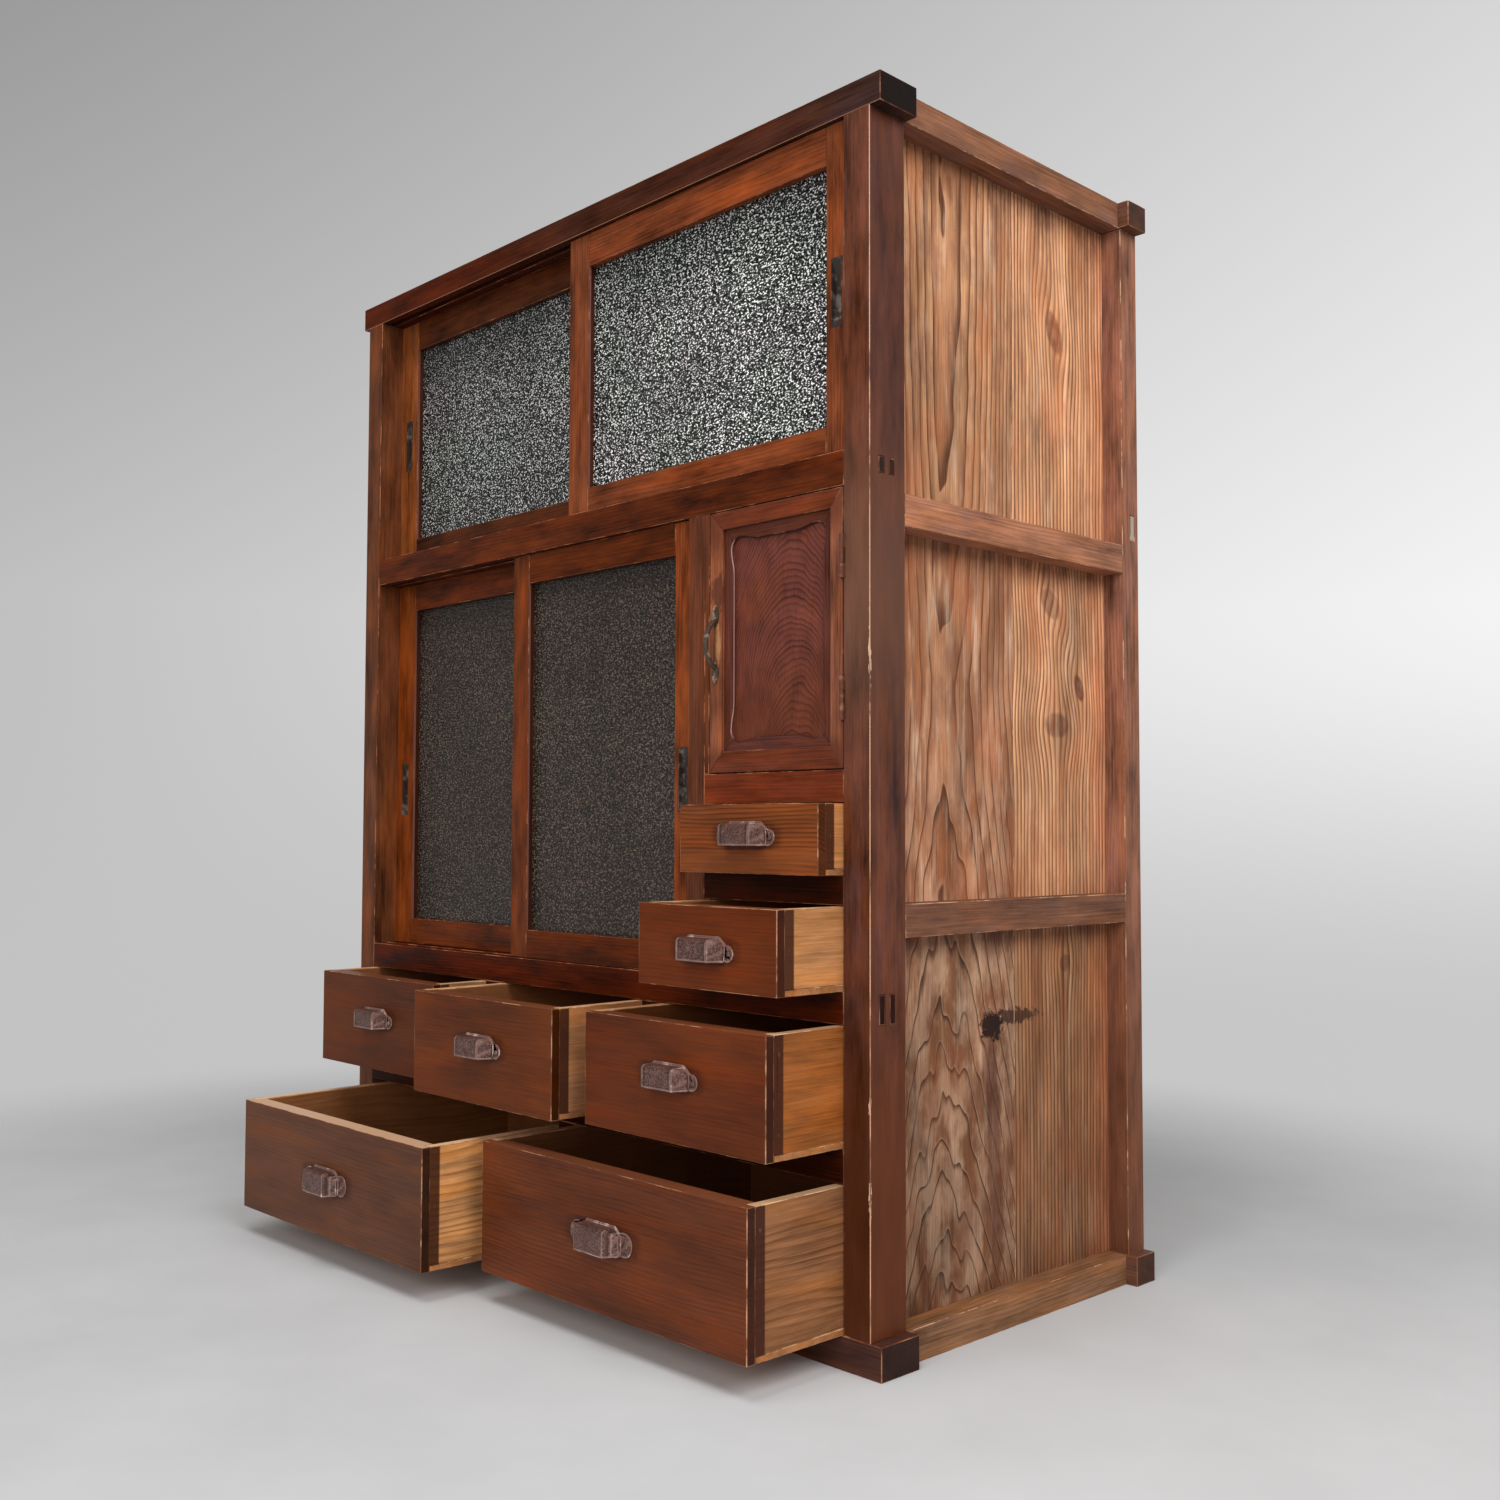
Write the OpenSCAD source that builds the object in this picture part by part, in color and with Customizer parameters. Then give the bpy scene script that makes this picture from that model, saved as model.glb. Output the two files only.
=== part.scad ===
// Tea cabinet of posts, rails and thin boards. Two pairs of sliding glass doors, one small
// hinged cupboard door and seven drawers close its front.
// It is drawn with the doors shut and each drawer standing open by its own opening value.
// Millimetres. X runs to the right, Y to the back, Z up. The origin is on the floor, under the
// middle of the front base rail. Depths in the modules count from the cabinet's front face.

/* [Cabinet] */
// Width over the ends of the top and base rails
cabinet_w = 910; // [880:5:1100]
// Depth from the front face to the back face
cabinet_d = 448; // [440:1:560]
// Height from the floor to the top of the top rails
cabinet_h = 1177; // [1150:1:1400]
// How far the top and base rails pass the posts at each side
rail_overhang = 13; // [6:1:24]

/* [Frame timber] */
// Width of the posts, and of the top and base side rails
post_w = 32; // [30:1:44]
// Depth of the front posts
front_post_d = 49; // [44:1:52]
// Depth of the rear posts
rear_post_d = 31; // [28:1:44]
// Depth of the front rails, which carry the door tracks
front_rail_d = 52; // [52:1:64]
// Depth of the rear top and base rails
rear_rail_d = 35; // [32:1:48]
// Height of the top rails
top_rail_h = 28; // [26:1:40]
// Height of the base rails
base_rail_h = 31; // [28:1:44]
// Height of the battens across the side boards
batten_h = 31; // [20:1:44]
// Underside of the lower side batten above the floor
lower_batten_z = 386; // [340:1:420]
// Underside of the upper side batten above the floor
upper_batten_z = 766; // [700:1:800]
// Depth of the drawer rails, column rails and dividers
member_d = 30; // [24:1:40]
// Width of the upright dividers between the drawers
divider_w = 30; // [24:1:40]

/* [Openings from the floor up] */
// Height of the opening for the two big drawers
big_drawer_opening_h = 134; // [110:1:150]
// Height of the rail above the big drawers
drawer_rail_h = 32; // [28:1:40]
// Height of the opening for the row of three drawers
row_drawer_opening_h = 111; // [95:1:120]
// Height of the sill rail under the lower doors
sill_rail_h = 30; // [28:1:40]
// Height of the opening for the lower sliding doors
lower_door_opening_h = 464; // [456:1:480]
// Height of the rail between the lower and the upper doors
mid_rail_h = 33; // [31:1:40]

/* [Small column at the right] */
// Width of the column's opening
column_w = 188.5; // [170:0.5:220]
// Width of the column's post
column_post_w = 24.5; // [20:0.5:36]
// Width of the strip that fills the opening beside the cupboard door
cupboard_strip_w = 6.5; // [4:0.5:10]
// Height of the opening for the column's lower drawer
low_drawer_opening_h = 78; // [65:1:90]
// Height of the rail between the column's drawers
column_rail_h = 27; // [22:1:32]
// Height of the opening for the column's upper drawer
high_drawer_opening_h = 67; // [60:1:75]
// Height of the rail under the cupboard door
cupboard_rail_h = 30; // [26:1:34]
// Thickness of the upright board behind the column's post
partition_t = 9; // [6:1:12]

/* [Boards] */
// Thickness of the side boards
side_board_t = 8; // [6:1:12]
// Width of the front one of the two side boards
side_front_board_w = 198; // [120:1:280]
// Thickness of the back boards
back_board_t = 8; // [6:1:12]
// Number of back boards
back_board_count = 6; // [4:1:8]
// Thickness of the inner floor boards
floor_board_t = 9; // [7:1:9]
// How far a floor board lies below the top of the rail that holds it
floor_drop = 9; // [8:1:10]
// Thickness of the top and bottom boards
frame_board_t = 8; // [6:1:10]
// How far the top board lies below the top of the rails
top_board_drop = 9; // [7:1:10]
// Underside of the bottom board above the floor
bottom_board_z = 12; // [8:1:14]
// How far a board's edge enters its groove
board_tongue = 6; // [4:1:6]

/* [Joinery] */
// Width of the stub tenon at each end of a corner post
stub_w = 16; // [10:1:20]
// Depth of that stub tenon
stub_d = 16; // [10:1:20]
// How far it enters the rail
stub_l = 12; // [6:1:16]
// Thickness of the through tenons of the mid and sill rails
through_tenon_t = 7.5; // [5:0.5:9]
// Depth of the first through tenon behind the front face
through_tenon_y = 12.5; // [8:0.5:14]
// Distance between the two through tenons
through_tenon_pitch = 14.5; // [12:0.5:18]
// Height of the mid rail's tenons
mid_tenon_h = 15; // [10:1:24]
// Height of the sill rail's tenons
sill_tenon_h = 27; // [16:1:28]
// Thickness of the rear rail's tenon
rear_tenon_t = 8; // [5:1:10]
// Height of the rear rail's tenon
rear_tenon_h = 27; // [16:1:28]

/* [Sliding doors] */
// Thickness of a sliding door
door_t = 20; // [18:0.5:20]
// How far the front doors stand behind the front face
door_set_back = 5; // [3:0.5:5]
// Gap between the front and the rear doors
door_gap = 6; // [2:0.5:6]
// Thickness of the tongue that runs in a track
track_tongue_t = 8; // [5:0.5:9]
// Depth of the tracks above the doors
head_track = 8; // [6:0.5:9]
// Depth of the tracks under the doors
sill_track = 3; // [2:0.5:5]
// How far the upper doors lap each other when shut
upper_door_overlap = 24; // [16:1:34]
// How far the lower doors lap each other when shut
lower_door_overlap = 17; // [10:1:28]
// Width of the upper doors' meeting stiles
upper_meeting_stile_w = 35; // [24:1:45]
// Width of the lower doors' meeting stiles
lower_meeting_stile_w = 30; // [24:1:45]
// Width of the outer stiles of the front, right-hand doors
front_outer_stile_w = 26; // [26:1:45]
// Width of the outer stiles of the rear, left-hand doors
rear_outer_stile_w = 39; // [26:1:50]
// Height of the upper doors' top rails
upper_door_top_rail_h = 38; // [20:1:50]
// Height of the upper doors' bottom rails
upper_door_bottom_rail_h = 27; // [20:1:50]
// Height of the lower doors' top rails
lower_door_top_rail_h = 34; // [20:1:50]
// Height of the lower doors' bottom rails
lower_door_bottom_rail_h = 32; // [20:1:50]
// Thickness of the glass
glass_t = 3; // [2:0.5:5]
// How far the glass lies behind the door's face
glass_set_back = 8; // [5:0.5:10]
// How far the glass enters the door's frame
glass_edge = 5; // [3:0.5:6]

/* [Finger pulls] */
// Width of a finger pull
finger_pull_w = 14; // [10:0.5:15]
// Length of a finger pull
finger_pull_l = 66; // [40:1:80]
// Depth of a finger pull at its middle
finger_pull_depth = 7; // [5:0.5:8]
// Thickness of a finger pull's metal
finger_pull_wall = 1; // [0.6:0.1:1.5]
// Middle of the upper doors' pulls above the mid rail
upper_finger_pull_up = 152; // [80:1:220]
// Middle of the lower doors' pulls above the sill rail
lower_finger_pull_up = 198; // [120:1:320]

/* [Cupboard door] */
// Thickness of the cupboard door
cupboard_door_t = 18; // [16:1:22]
// Gap all round the cupboard door
cupboard_door_gap = 1; // [0.6:0.1:1.5]
// Width of the cupboard door's left stile
cupboard_left_stile_w = 18; // [17:1:26]
// Width of the cupboard door's right stile
cupboard_right_stile_w = 16; // [15:1:26]
// Height of the cupboard door's lower rail
cupboard_lower_rail_h = 21; // [17:1:26]
// Height of the cupboard door's upper rail
cupboard_upper_rail_h = 18; // [17:1:26]
// How far the fretted board lies behind the door's face
fret_set_back = 4; // [2:0.5:6]
// Thickness of the fretted board
fret_t = 4; // [3:0.5:5]
// Width of the fretted board's border at its corners
fret_border = 9; // [7:1:14]
// How far the fretted border swells away from its corners
fret_swell = 4; // [1:0.5:8]
// Length over which the border swells
fret_swell_run = 26; // [10:1:40]
// Radius of the fretted opening's corners
fret_corner_r = 12; // [5:1:14]
// Thickness of the panel behind the fretted board
door_panel_t = 5; // [4:1:6]
// How far the fretted board and the panel enter the frame
door_panel_edge = 5; // [3:0.5:6]

/* [Cupboard door handle and hinges] */
// Radius of the hinge screws' shanks
screw_r = 1.1; // [0.8:0.1:1.4]
// Radius of the hinge screws' countersunk heads
screw_head_r = 2.2; // [1.8:0.1:2.8]
// Length of the hinge screws
screw_l = 11; // [6:1:11]
// Length of the handle over its two leaves
handle_l = 79; // [60:1:100]
// Middle of the handle above the door's lower edge
handle_up = 128; // [60:1:160]
// Length of a leaf
handle_leaf_l = 22; // [16:1:26]
// Width of a leaf
handle_leaf_w = 9; // [6:0.5:12]
// Thickness of a leaf
handle_leaf_t = 1.6; // [1:0.1:3]
// Length of the grip between its feet
grip_l = 50; // [44:1:54]
// How far the middle line of the grip stands off the door
grip_reach = 14; // [11:1:20]
// Radius of the grip
grip_r = 2.6; // [2:0.1:3]
// Length of a hinge
hinge_l = 41; // [30:1:60]
// Distance from a hinge to the nearer end of the door
hinge_inset = 44; // [20:1:70]
// Width of a hinge leaf in the edge of the door
hinge_leaf_w = 15; // [10:1:16]
// Thickness of a hinge leaf
hinge_leaf_t = 1.2; // [0.8:0.1:1.6]
// Outer radius of the hinge knuckles
knuckle_r = 2.2; // [2:0.1:4]
// Radius of the hinge pin
hinge_pin_r = 1; // [0.8:0.1:1.6]

/* [Drawers] */
// Length of a drawer from its face to its back
drawer_l = 385; // [320:1:390]
// Thickness of a drawer front
drawer_front_t = 21; // [16:1:24]
// Thickness of the lip that covers the ends of the sides
drawer_lip_t = 10; // [6:1:12]
// Thickness of a drawer side
drawer_side_t = 11; // [8:1:13]
// Thickness of a drawer back
drawer_back_t = 10; // [8:1:13]
// How far a drawer back is lower than the sides
drawer_back_drop = 6; // [2:1:12]
// Thickness of a drawer bottom
drawer_bottom_t = 6; // [4:1:8]
// How far the column's upper drawer stands open
column_upper_open = 33; // [0:1:200]
// How far the column's lower drawer stands open
column_lower_open = 85; // [0:1:200]
// How far the right drawer of the row stands open
row_right_open = 98; // [0:1:200]
// How far the middle drawer of the row stands open
row_middle_open = 115; // [0:1:200]
// How far the left drawer of the row stands open
row_left_open = 71; // [0:1:200]
// How far the left big drawer stands open
bottom_left_open = 172; // [0:1:200]
// How far the right big drawer stands open
bottom_right_open = 120; // [0:1:200]
// How much has been planed off the top of the left big drawer
bottom_left_planed = 6; // [0:0.5:12]

/* [Pegs and nails] */
// Radius of the wooden pegs that hold a drawer's sides to its front
peg_r = 1.3; // [0.8:0.1:2]
// Length of those pegs
peg_l = 24; // [18:1:32]
// Number of pegs in each corner
peg_count = 3; // [2:1:4]
// Radius of the nails' shanks
nail_r = 0.8; // [0.6:0.1:1]
// Radius of the nails' heads
nail_head_r = 2; // [1.6:0.1:2.5]
// Thickness of the nails' heads
nail_head_t = 0.8; // [0.5:0.1:1.2]
// How far the nails enter the wood
nail_l = 8; // [5:1:9]

/* [Cup pulls] */
// Width of the big drawers' pulls over their ears
big_pull_w = 92; // [80:1:120]
// Height of the big drawers' pulls
big_pull_h = 27; // [24:0.5:40]
// Width of the flat ear beside the cup of a big pull
big_pull_ear_w = 16; // [12:0.5:17]
// Width of the slanting end of a big pull's cup
big_pull_bevel_w = 9; // [5:0.5:12]
// Middle of the right big drawer's pull above the middle of its front
right_big_pull_up = 6; // [0:0.5:20]
// Middle of the left big drawer's pull above the middle of its front
left_big_pull_up = 0; // [0:0.5:20]
// Width of the small drawers' pulls over their ears
small_pull_w = 78; // [60:1:100]
// Height of the small drawers' pulls
small_pull_h = 23; // [22:0.5:36]
// Width of the flat ear beside the cup of a small pull
small_pull_ear_w = 11; // [9:0.5:14]
// Width of the slanting end of a small pull's cup
small_pull_bevel_w = 7; // [4:0.5:10]
// Middle of the row's pulls above the middle of their fronts
row_pull_up = 7; // [0:0.5:16]
// Middle of the column's upper pull above the middle of its front
column_upper_pull_up = 5; // [0:0.5:8]
// Middle of the column's lower pull above the middle of its front
column_lower_pull_up = 0; // [0:0.5:12]
// How far the cup of a pull stands off the drawer
pull_reach = 17; // [12:1:24]
// Thickness of a pull's metal
pull_wall = 1.6; // [1:0.1:2.5]
// Height of the flange above the cup
pull_flange_h = 2; // [1:0.5:5]

/* [Runners] */
// Height of the runners under the row of three and of the cupboard's floor supports
runner_h = 14; // [8:1:16]
// How far a runner reaches under a drawer
runner_reach = 20; // [14:1:30]
// Height of the guide strips between neighbouring drawers
guide_h = 15; // [8:1:24]
// Depth and height of the ledgers along the back boards
ledger_size = 12; // [8:1:14]

/* [Clearances] */
// Gap at each side of a door's tongue and over its lower end
slide_gap = 0.4; // [0.3:0.1:0.8]
// Gap at the shut end of each sliding door
door_end_gap = 0.5; // [0.3:0.1:1]
// Gap at each side of a drawer
drawer_side_gap = 1; // [0.5:0.1:2]
// Gap above a drawer
drawer_top_gap = 1; // [0.5:0.1:2]
// Gap under a drawer
drawer_run_gap = 0.3; // [0.3:0.1:0.6]
// Gap around a tenon or a board's edge in its groove
fit_gap = 0.15; // [0.05:0.05:0.3]
// Open line between two pieces that are glued or nailed edge to edge
seam = 0.2; // [0.1:0.1:0.5]
// Gap between a hinge knuckle and what lies beside it
knuckle_gap = 0.3; // [0.3:0.1:0.5]
// Gap around a nail, a peg or a hinge pin in its hole
pin_gap = 0.05; // [0.02:0.01:0.09]

/* [Hidden] */
// Cut-outs start this far outside the solid that they cut
over = 1;
// Round bores and pins
$fn = 48;

// Places across the width
half_w = cabinet_w / 2;
side_x = half_w - rail_overhang;
inner_x = side_x - post_w;
post_mid_x = (inner_x + side_x) / 2;
column_x = inner_x - column_w;
column_post_x = column_x - column_post_w;
board_x = inner_x - seam;

// Places up the height
base_z = base_rail_h;
drawer_rail_z = base_z + big_drawer_opening_h;
row_z = drawer_rail_z + drawer_rail_h;
sill_z = row_z + row_drawer_opening_h;
lower_z = sill_z + sill_rail_h;
mid_z = lower_z + lower_door_opening_h;
upper_z = mid_z + mid_rail_h;
top_z = cabinet_h - top_rail_h;
column_rail_z = lower_z + low_drawer_opening_h;
high_drawer_z = column_rail_z + column_rail_h;
cupboard_rail_z = high_drawer_z + high_drawer_opening_h;
cupboard_z = cupboard_rail_z + cupboard_rail_h;

// Places from the front to the back
front_y = -front_rail_d / 2;
rear_post_y = cabinet_d - rear_post_d;
rear_rail_y = cabinet_d - rear_rail_d;
back_y = rear_post_y + back_board_t;
ledger_y = rear_post_y - ledger_size;

// Board levels, each as [underside, top]
lower_floor = [lower_z - floor_drop - floor_board_t, lower_z - floor_drop];
upper_floor = [upper_z - floor_drop - floor_board_t, upper_z - floor_drop];
cupboard_floor = [cupboard_z - floor_board_t, cupboard_z];
top_board = [cabinet_h - top_board_drop - frame_board_t, cabinet_h - top_board_drop];
bottom_board = [bottom_board_z, bottom_board_z + frame_board_t];

// Widths of the drawer bays
row_bay_w = (2 * inner_x - 2 * divider_w) / 3;
big_bay_w = (2 * inner_x - divider_w) / 2;
row_mid_x = row_bay_w / 2;

// Each pull: how far it sits above the middle of the front, its width, its height, the width
// of its ears and the width of its slanting ends
small_pull = [small_pull_w, small_pull_h, small_pull_ear_w, small_pull_bevel_w];
big_pull = [big_pull_w, big_pull_h, big_pull_ear_w, big_pull_bevel_w];
row_pull = concat(row_pull_up, small_pull);
column_upper_pull = concat(column_upper_pull_up, small_pull);
column_lower_pull = concat(column_lower_pull_up, small_pull);
left_big_pull = concat(left_big_pull_up, big_pull);
right_big_pull = concat(right_big_pull_up, big_pull);

// Each drawer: name, [left, right] and [bottom, top] of its opening, how far it stands open,
// its pull, and how much has been planed off its top
DRAWERS = [
    ["column_upper_drawer", [column_x, inner_x], [high_drawer_z, cupboard_rail_z],
        column_upper_open, column_upper_pull, 0],
    ["column_lower_drawer", [column_x, inner_x], [lower_z, column_rail_z],
        column_lower_open, column_lower_pull, 0],
    ["row_right_drawer", [row_mid_x + divider_w, inner_x], [row_z, sill_z],
        row_right_open, row_pull, 0],
    ["row_middle_drawer", [-row_mid_x, row_mid_x], [row_z, sill_z],
        row_middle_open, row_pull, 0],
    ["row_left_drawer", [-inner_x, -row_mid_x - divider_w], [row_z, sill_z],
        row_left_open, row_pull, 0],
    ["bottom_left_drawer", [-inner_x, -divider_w / 2], [base_z, drawer_rail_z],
        bottom_left_open, left_big_pull, bottom_left_planed],
    ["bottom_right_drawer", [divider_w / 2, inner_x], [base_z, drawer_rail_z],
        bottom_right_open, right_big_pull, 0],
];

// Each sliding door: name, [left, right], [bottom, top] of its opening, depth of its face,
// [left, right] stile widths, [bottom, top] rail heights, middle of its pull
upper_door_w = inner_x + upper_door_overlap / 2 - door_end_gap;
lower_door_w = (inner_x + column_post_x + lower_door_overlap) / 2 - door_end_gap;
rear_door_y = door_set_back + door_t + door_gap;
upper_rails = [upper_door_bottom_rail_h, upper_door_top_rail_h];
lower_rails = [lower_door_bottom_rail_h, lower_door_top_rail_h];
left_end = -inner_x + door_end_gap;
upper_right_end = inner_x - door_end_gap;
lower_right_end = column_post_x - door_end_gap;
DOORS = [
    ["upper_left_door", [left_end, left_end + upper_door_w], [upper_z, top_z], rear_door_y,
        [rear_outer_stile_w, upper_meeting_stile_w], upper_rails,
        [left_end + rear_outer_stile_w / 2, upper_z + upper_finger_pull_up]],
    ["upper_right_door", [upper_right_end - upper_door_w, upper_right_end], [upper_z, top_z],
        door_set_back, [upper_meeting_stile_w, front_outer_stile_w], upper_rails,
        [upper_right_end - front_outer_stile_w / 2, upper_z + upper_finger_pull_up]],
    ["lower_left_door", [left_end, left_end + lower_door_w], [lower_z, mid_z], rear_door_y,
        [rear_outer_stile_w, lower_meeting_stile_w], lower_rails,
        [left_end + rear_outer_stile_w / 2, lower_z + lower_finger_pull_up]],
    ["lower_right_door", [lower_right_end - lower_door_w, lower_right_end], [lower_z, mid_z],
        door_set_back, [lower_meeting_stile_w, front_outer_stile_w], lower_rails,
        [lower_right_end - front_outer_stile_w / 2, lower_z + lower_finger_pull_up]],
];

// The cupboard door's outline and hinge line
cupboard_door_x = [column_x + cupboard_strip_w + cupboard_door_gap, inner_x - cupboard_door_gap];
cupboard_door_z = [cupboard_z + cupboard_door_gap, mid_z - cupboard_door_gap];
hinge_x = inner_x - cupboard_door_gap / 2;
hinge_y = -knuckle_r - knuckle_gap;
hinge_starts = [cupboard_door_z[0] + hinge_inset, cupboard_door_z[1] - hinge_inset - hinge_l];

FRAME_NODES = [
    "front_top_rail", "front_base_rail", "front_post_left", "front_post_right", "rear_rails",
    "rear_posts", "side_rails_left", "side_rails_right", "side_boards_left",
    "side_boards_right", "back_boards", "top_board", "bottom_board", "mid_rail", "sill_rail",
    "drawer_rails", "column_post", "drawer_dividers", "floor_boards", "partition",
    "drawer_runners", "hinge_fixed_leaves",
];
CUPBOARD_DOOR_NODES = [
    "cupboard_door_frame", "cupboard_door_fret", "cupboard_door_panel",
    "cupboard_door_handle", "hinge_moving_leaves",
];

// Shared shapes

// Moves a piece drawn from the front face to its place around the origin
module from_front() translate([0, front_y, 0]) children();

// A box between the given limits
module block(x, y, z)
    translate([x[0], y[0], z[0]]) cube([x[1] - x[0], y[1] - y[0], z[1] - z[0]]);

// A flat shape drawn in X and Z, as a plate between two depths
module plate(y0, y1)
    translate([0, y1, 0]) rotate([90, 0, 0]) linear_extrude(y1 - y0) children();

// The piece and its mirror image at the other side of the cabinet
module both_sides() {
    children();
    mirror([1, 0, 0]) children();
}

// A small round bar along Y, from the given depth backwards
module pin(r, y, l) translate([0, y, 0]) rotate([-90, 0, 0]) cylinder(r = r, h = l, $fn = 24);

// A nail driven in along Y, its head on a plate of thickness t that lies on the face Y = 0
module nail(t) {
    pin(nail_head_r, -t - nail_head_t, nail_head_t);
    pin(nail_r, -t - nail_head_t / 2, nail_l + t + nail_head_t / 2);
}

// Hole for that nail through its plate and into the wood
module nail_hole() pin(nail_r + pin_gap, -handle_leaf_l, handle_leaf_l + nail_l + pin_gap);

function grown(range, by) = [range[0] - by, range[1] + by];
function around(place, by) = [place - by, place + by];
function middle(range) = (range[0] + range[1]) / 2;

// Corner post between the base and top rails, with a stub tenon at each end
module corner_post(y) {
    block([inner_x, side_x], y, [base_z, top_z]);
    stub_tenon(y, 0);
}

module stub_tenon(y, gap)
    block(around(post_mid_x, stub_w / 2 + gap), around(middle(y), stub_d / 2 + gap),
        grown([base_z - stub_l, top_z + stub_l], gap));

// The pair of tenons that pass through a front post at each end of a rail
module through_tenons(z, h, gap)
    both_sides() for (i = [0, 1]) {
        y = through_tenon_y + i * through_tenon_pitch;
        block(tenon_x(gap), grown([y, y + through_tenon_t], gap),
            around(middle(z), h / 2 + gap));
    }

module rear_tenon(gap)
    both_sides() block(tenon_x(gap),
        around((back_y + cabinet_d) / 2, rear_tenon_t / 2 + gap),
        around((mid_z + upper_z) / 2, rear_tenon_h / 2 + gap));

// A tenon ends flush with the post; its mortise is cut a little past both faces
function tenon_x(gap) = gap > 0 ? grown([inner_x, side_x], over) : [inner_x, side_x];

// The two tracks for a pair of sliding doors, cut between two heights
module tracks(x, z) {
    for (y0 = [door_set_back, rear_door_y]) {
        y = y0 + (door_t - track_tongue_t) / 2;
        block(x, grown([y, y + track_tongue_t], slide_gap), z);
    }
}

// Groove in a front rail's back for the edge of a board
module front_board_groove(z)
    block([-inner_x, inner_x], [front_rail_d - board_tongue, front_rail_d + over],
        grown(z, fit_gap));

// Frame of posts and rails

module front_rail(z) difference() {
    block([-half_w, half_w], [0, front_rail_d], z);
    both_sides() stub_tenon([0, front_post_d], fit_gap);
}

module front_top_rail() color("#3f2019") from_front() difference() {
    front_rail([top_z, cabinet_h]);
    tracks([-inner_x, inner_x], [top_z - over, top_z + head_track]);
    front_board_groove(top_board);
}

module front_base_rail() color("#4a2a20") from_front() difference() {
    front_rail([0, base_z]);
    front_board_groove(bottom_board);
}

module front_post() difference() {
    corner_post([0, front_post_d]);
    through_tenons([mid_z, upper_z], mid_tenon_h, fit_gap);
    through_tenons([sill_z, lower_z], sill_tenon_h, fit_gap);
}

module front_post_left() color("#5a2c1d") from_front() mirror([1, 0, 0]) front_post();

module front_post_right() color("#5a2c1d") from_front() difference() {
    front_post();
    for (z = hinge_starts) {
        block([inner_x - over, inner_x + hinge_leaf_t], [-over, hinge_leaf_w],
            [z, z + hinge_l]);
        screws(z) post_screw(pin_gap);
    }
}

module rear_rail(z, board) difference() {
    block([-half_w, half_w], [rear_rail_y, cabinet_d], z);
    both_sides() stub_tenon([rear_post_y, cabinet_d], fit_gap);
    block([-inner_x, inner_x], [rear_rail_y - over, rear_rail_y + board_tongue],
        grown(board, fit_gap));
}

module rear_rails() color("#6e4630") from_front() {
    rear_rail([top_z, cabinet_h], top_board);
    rear_rail([0, base_z], bottom_board);
    block([-inner_x, inner_x], [back_y, cabinet_d], [mid_z, upper_z]);
    rear_tenon(0);
}

module rear_posts() color("#6e4630") from_front() both_sides() difference() {
    corner_post([rear_post_y, cabinet_d]);
    rear_tenon(fit_gap);
}

module side_rails_right() color("#8a5a3c") from_front() {
    for (z = [[0, base_z], [top_z, cabinet_h]])
        block([inner_x, side_x], [front_rail_d, rear_rail_y], z);
    for (z = [lower_batten_z, upper_batten_z])
        block([inner_x + side_board_t, side_x], [front_post_d, rear_post_y],
            [z, z + batten_h]);
}

module side_rails_left() mirror([1, 0, 0]) side_rails_right();

// Mid rail between the upper and the lower sliding doors
module mid_rail() color("#5e2f1c") from_front() {
    difference() {
        block([-inner_x, inner_x], [0, front_rail_d], [mid_z, upper_z]);
        tracks([-inner_x - over, inner_x + over], [upper_z - sill_track, upper_z + over]);
        tracks([-inner_x - over, column_post_x], [mid_z - over, mid_z + head_track]);
        front_board_groove(upper_floor);
    }
    through_tenons([mid_z, upper_z], mid_tenon_h, 0);
}

// Sill rail under the lower sliding doors
module sill_rail() color("#4e291b") from_front() {
    difference() {
        block([-inner_x, inner_x], [0, front_rail_d], [sill_z, lower_z]);
        tracks([-inner_x - over, column_post_x], [lower_z - sill_track, lower_z + over]);
        front_board_groove(lower_floor);
    }
    through_tenons([sill_z, lower_z], sill_tenon_h, 0);
}

// Rail over the big drawers, and the two rails of the small column
module drawer_rails() color("#4e291b") from_front() {
    block([-inner_x, inner_x], [0, member_d], [drawer_rail_z, row_z]);
    block([column_x, inner_x], [0, member_d], [column_rail_z, high_drawer_z]);
    block([column_x, inner_x], [0, member_d], [cupboard_rail_z, cupboard_z]);
}

// The column's post, and the strip that stands between it and the cupboard door
module column_post() color("#6a351f") from_front() {
    block([column_post_x, column_x], [0, front_rail_d], [lower_z, mid_z]);
    block([column_x + seam, column_x + cupboard_strip_w], [0, member_d], [cupboard_z, mid_z]);
}

module drawer_dividers() color("#4e291b") from_front() {
    block([-divider_w / 2, divider_w / 2], [0, member_d], [base_z, drawer_rail_z]);
    both_sides()
        block([row_mid_x, row_mid_x + divider_w], [0, member_d], [row_z, sill_z]);
}

// Boards

module side_boards_right() color("#a8754f") from_front() {
    x = [inner_x, inner_x + side_board_t];
    seam_y = front_post_d + side_front_board_w;
    block(x, [front_post_d, seam_y], [base_z, top_z]);
    block(x, [seam_y + seam, rear_post_y], [base_z, top_z]);
}

module side_boards_left() mirror([1, 0, 0]) side_boards_right();

module back_boards() color("#9a6a48") from_front() {
    pitch = 2 * board_x / back_board_count;
    for (i = [0 : back_board_count - 1])
        block([-board_x + i * pitch, -board_x + (i + 1) * pitch - seam],
            [rear_post_y, back_y], [base_z, top_z]);
}

// Board held in the grooves of the front and rear rails
module frame_board(z)
    block([-board_x, board_x],
        [front_rail_d - board_tongue + fit_gap, rear_rail_y + board_tongue - fit_gap], z);

module top_board() color("#7d5138") from_front() frame_board(top_board);

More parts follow.
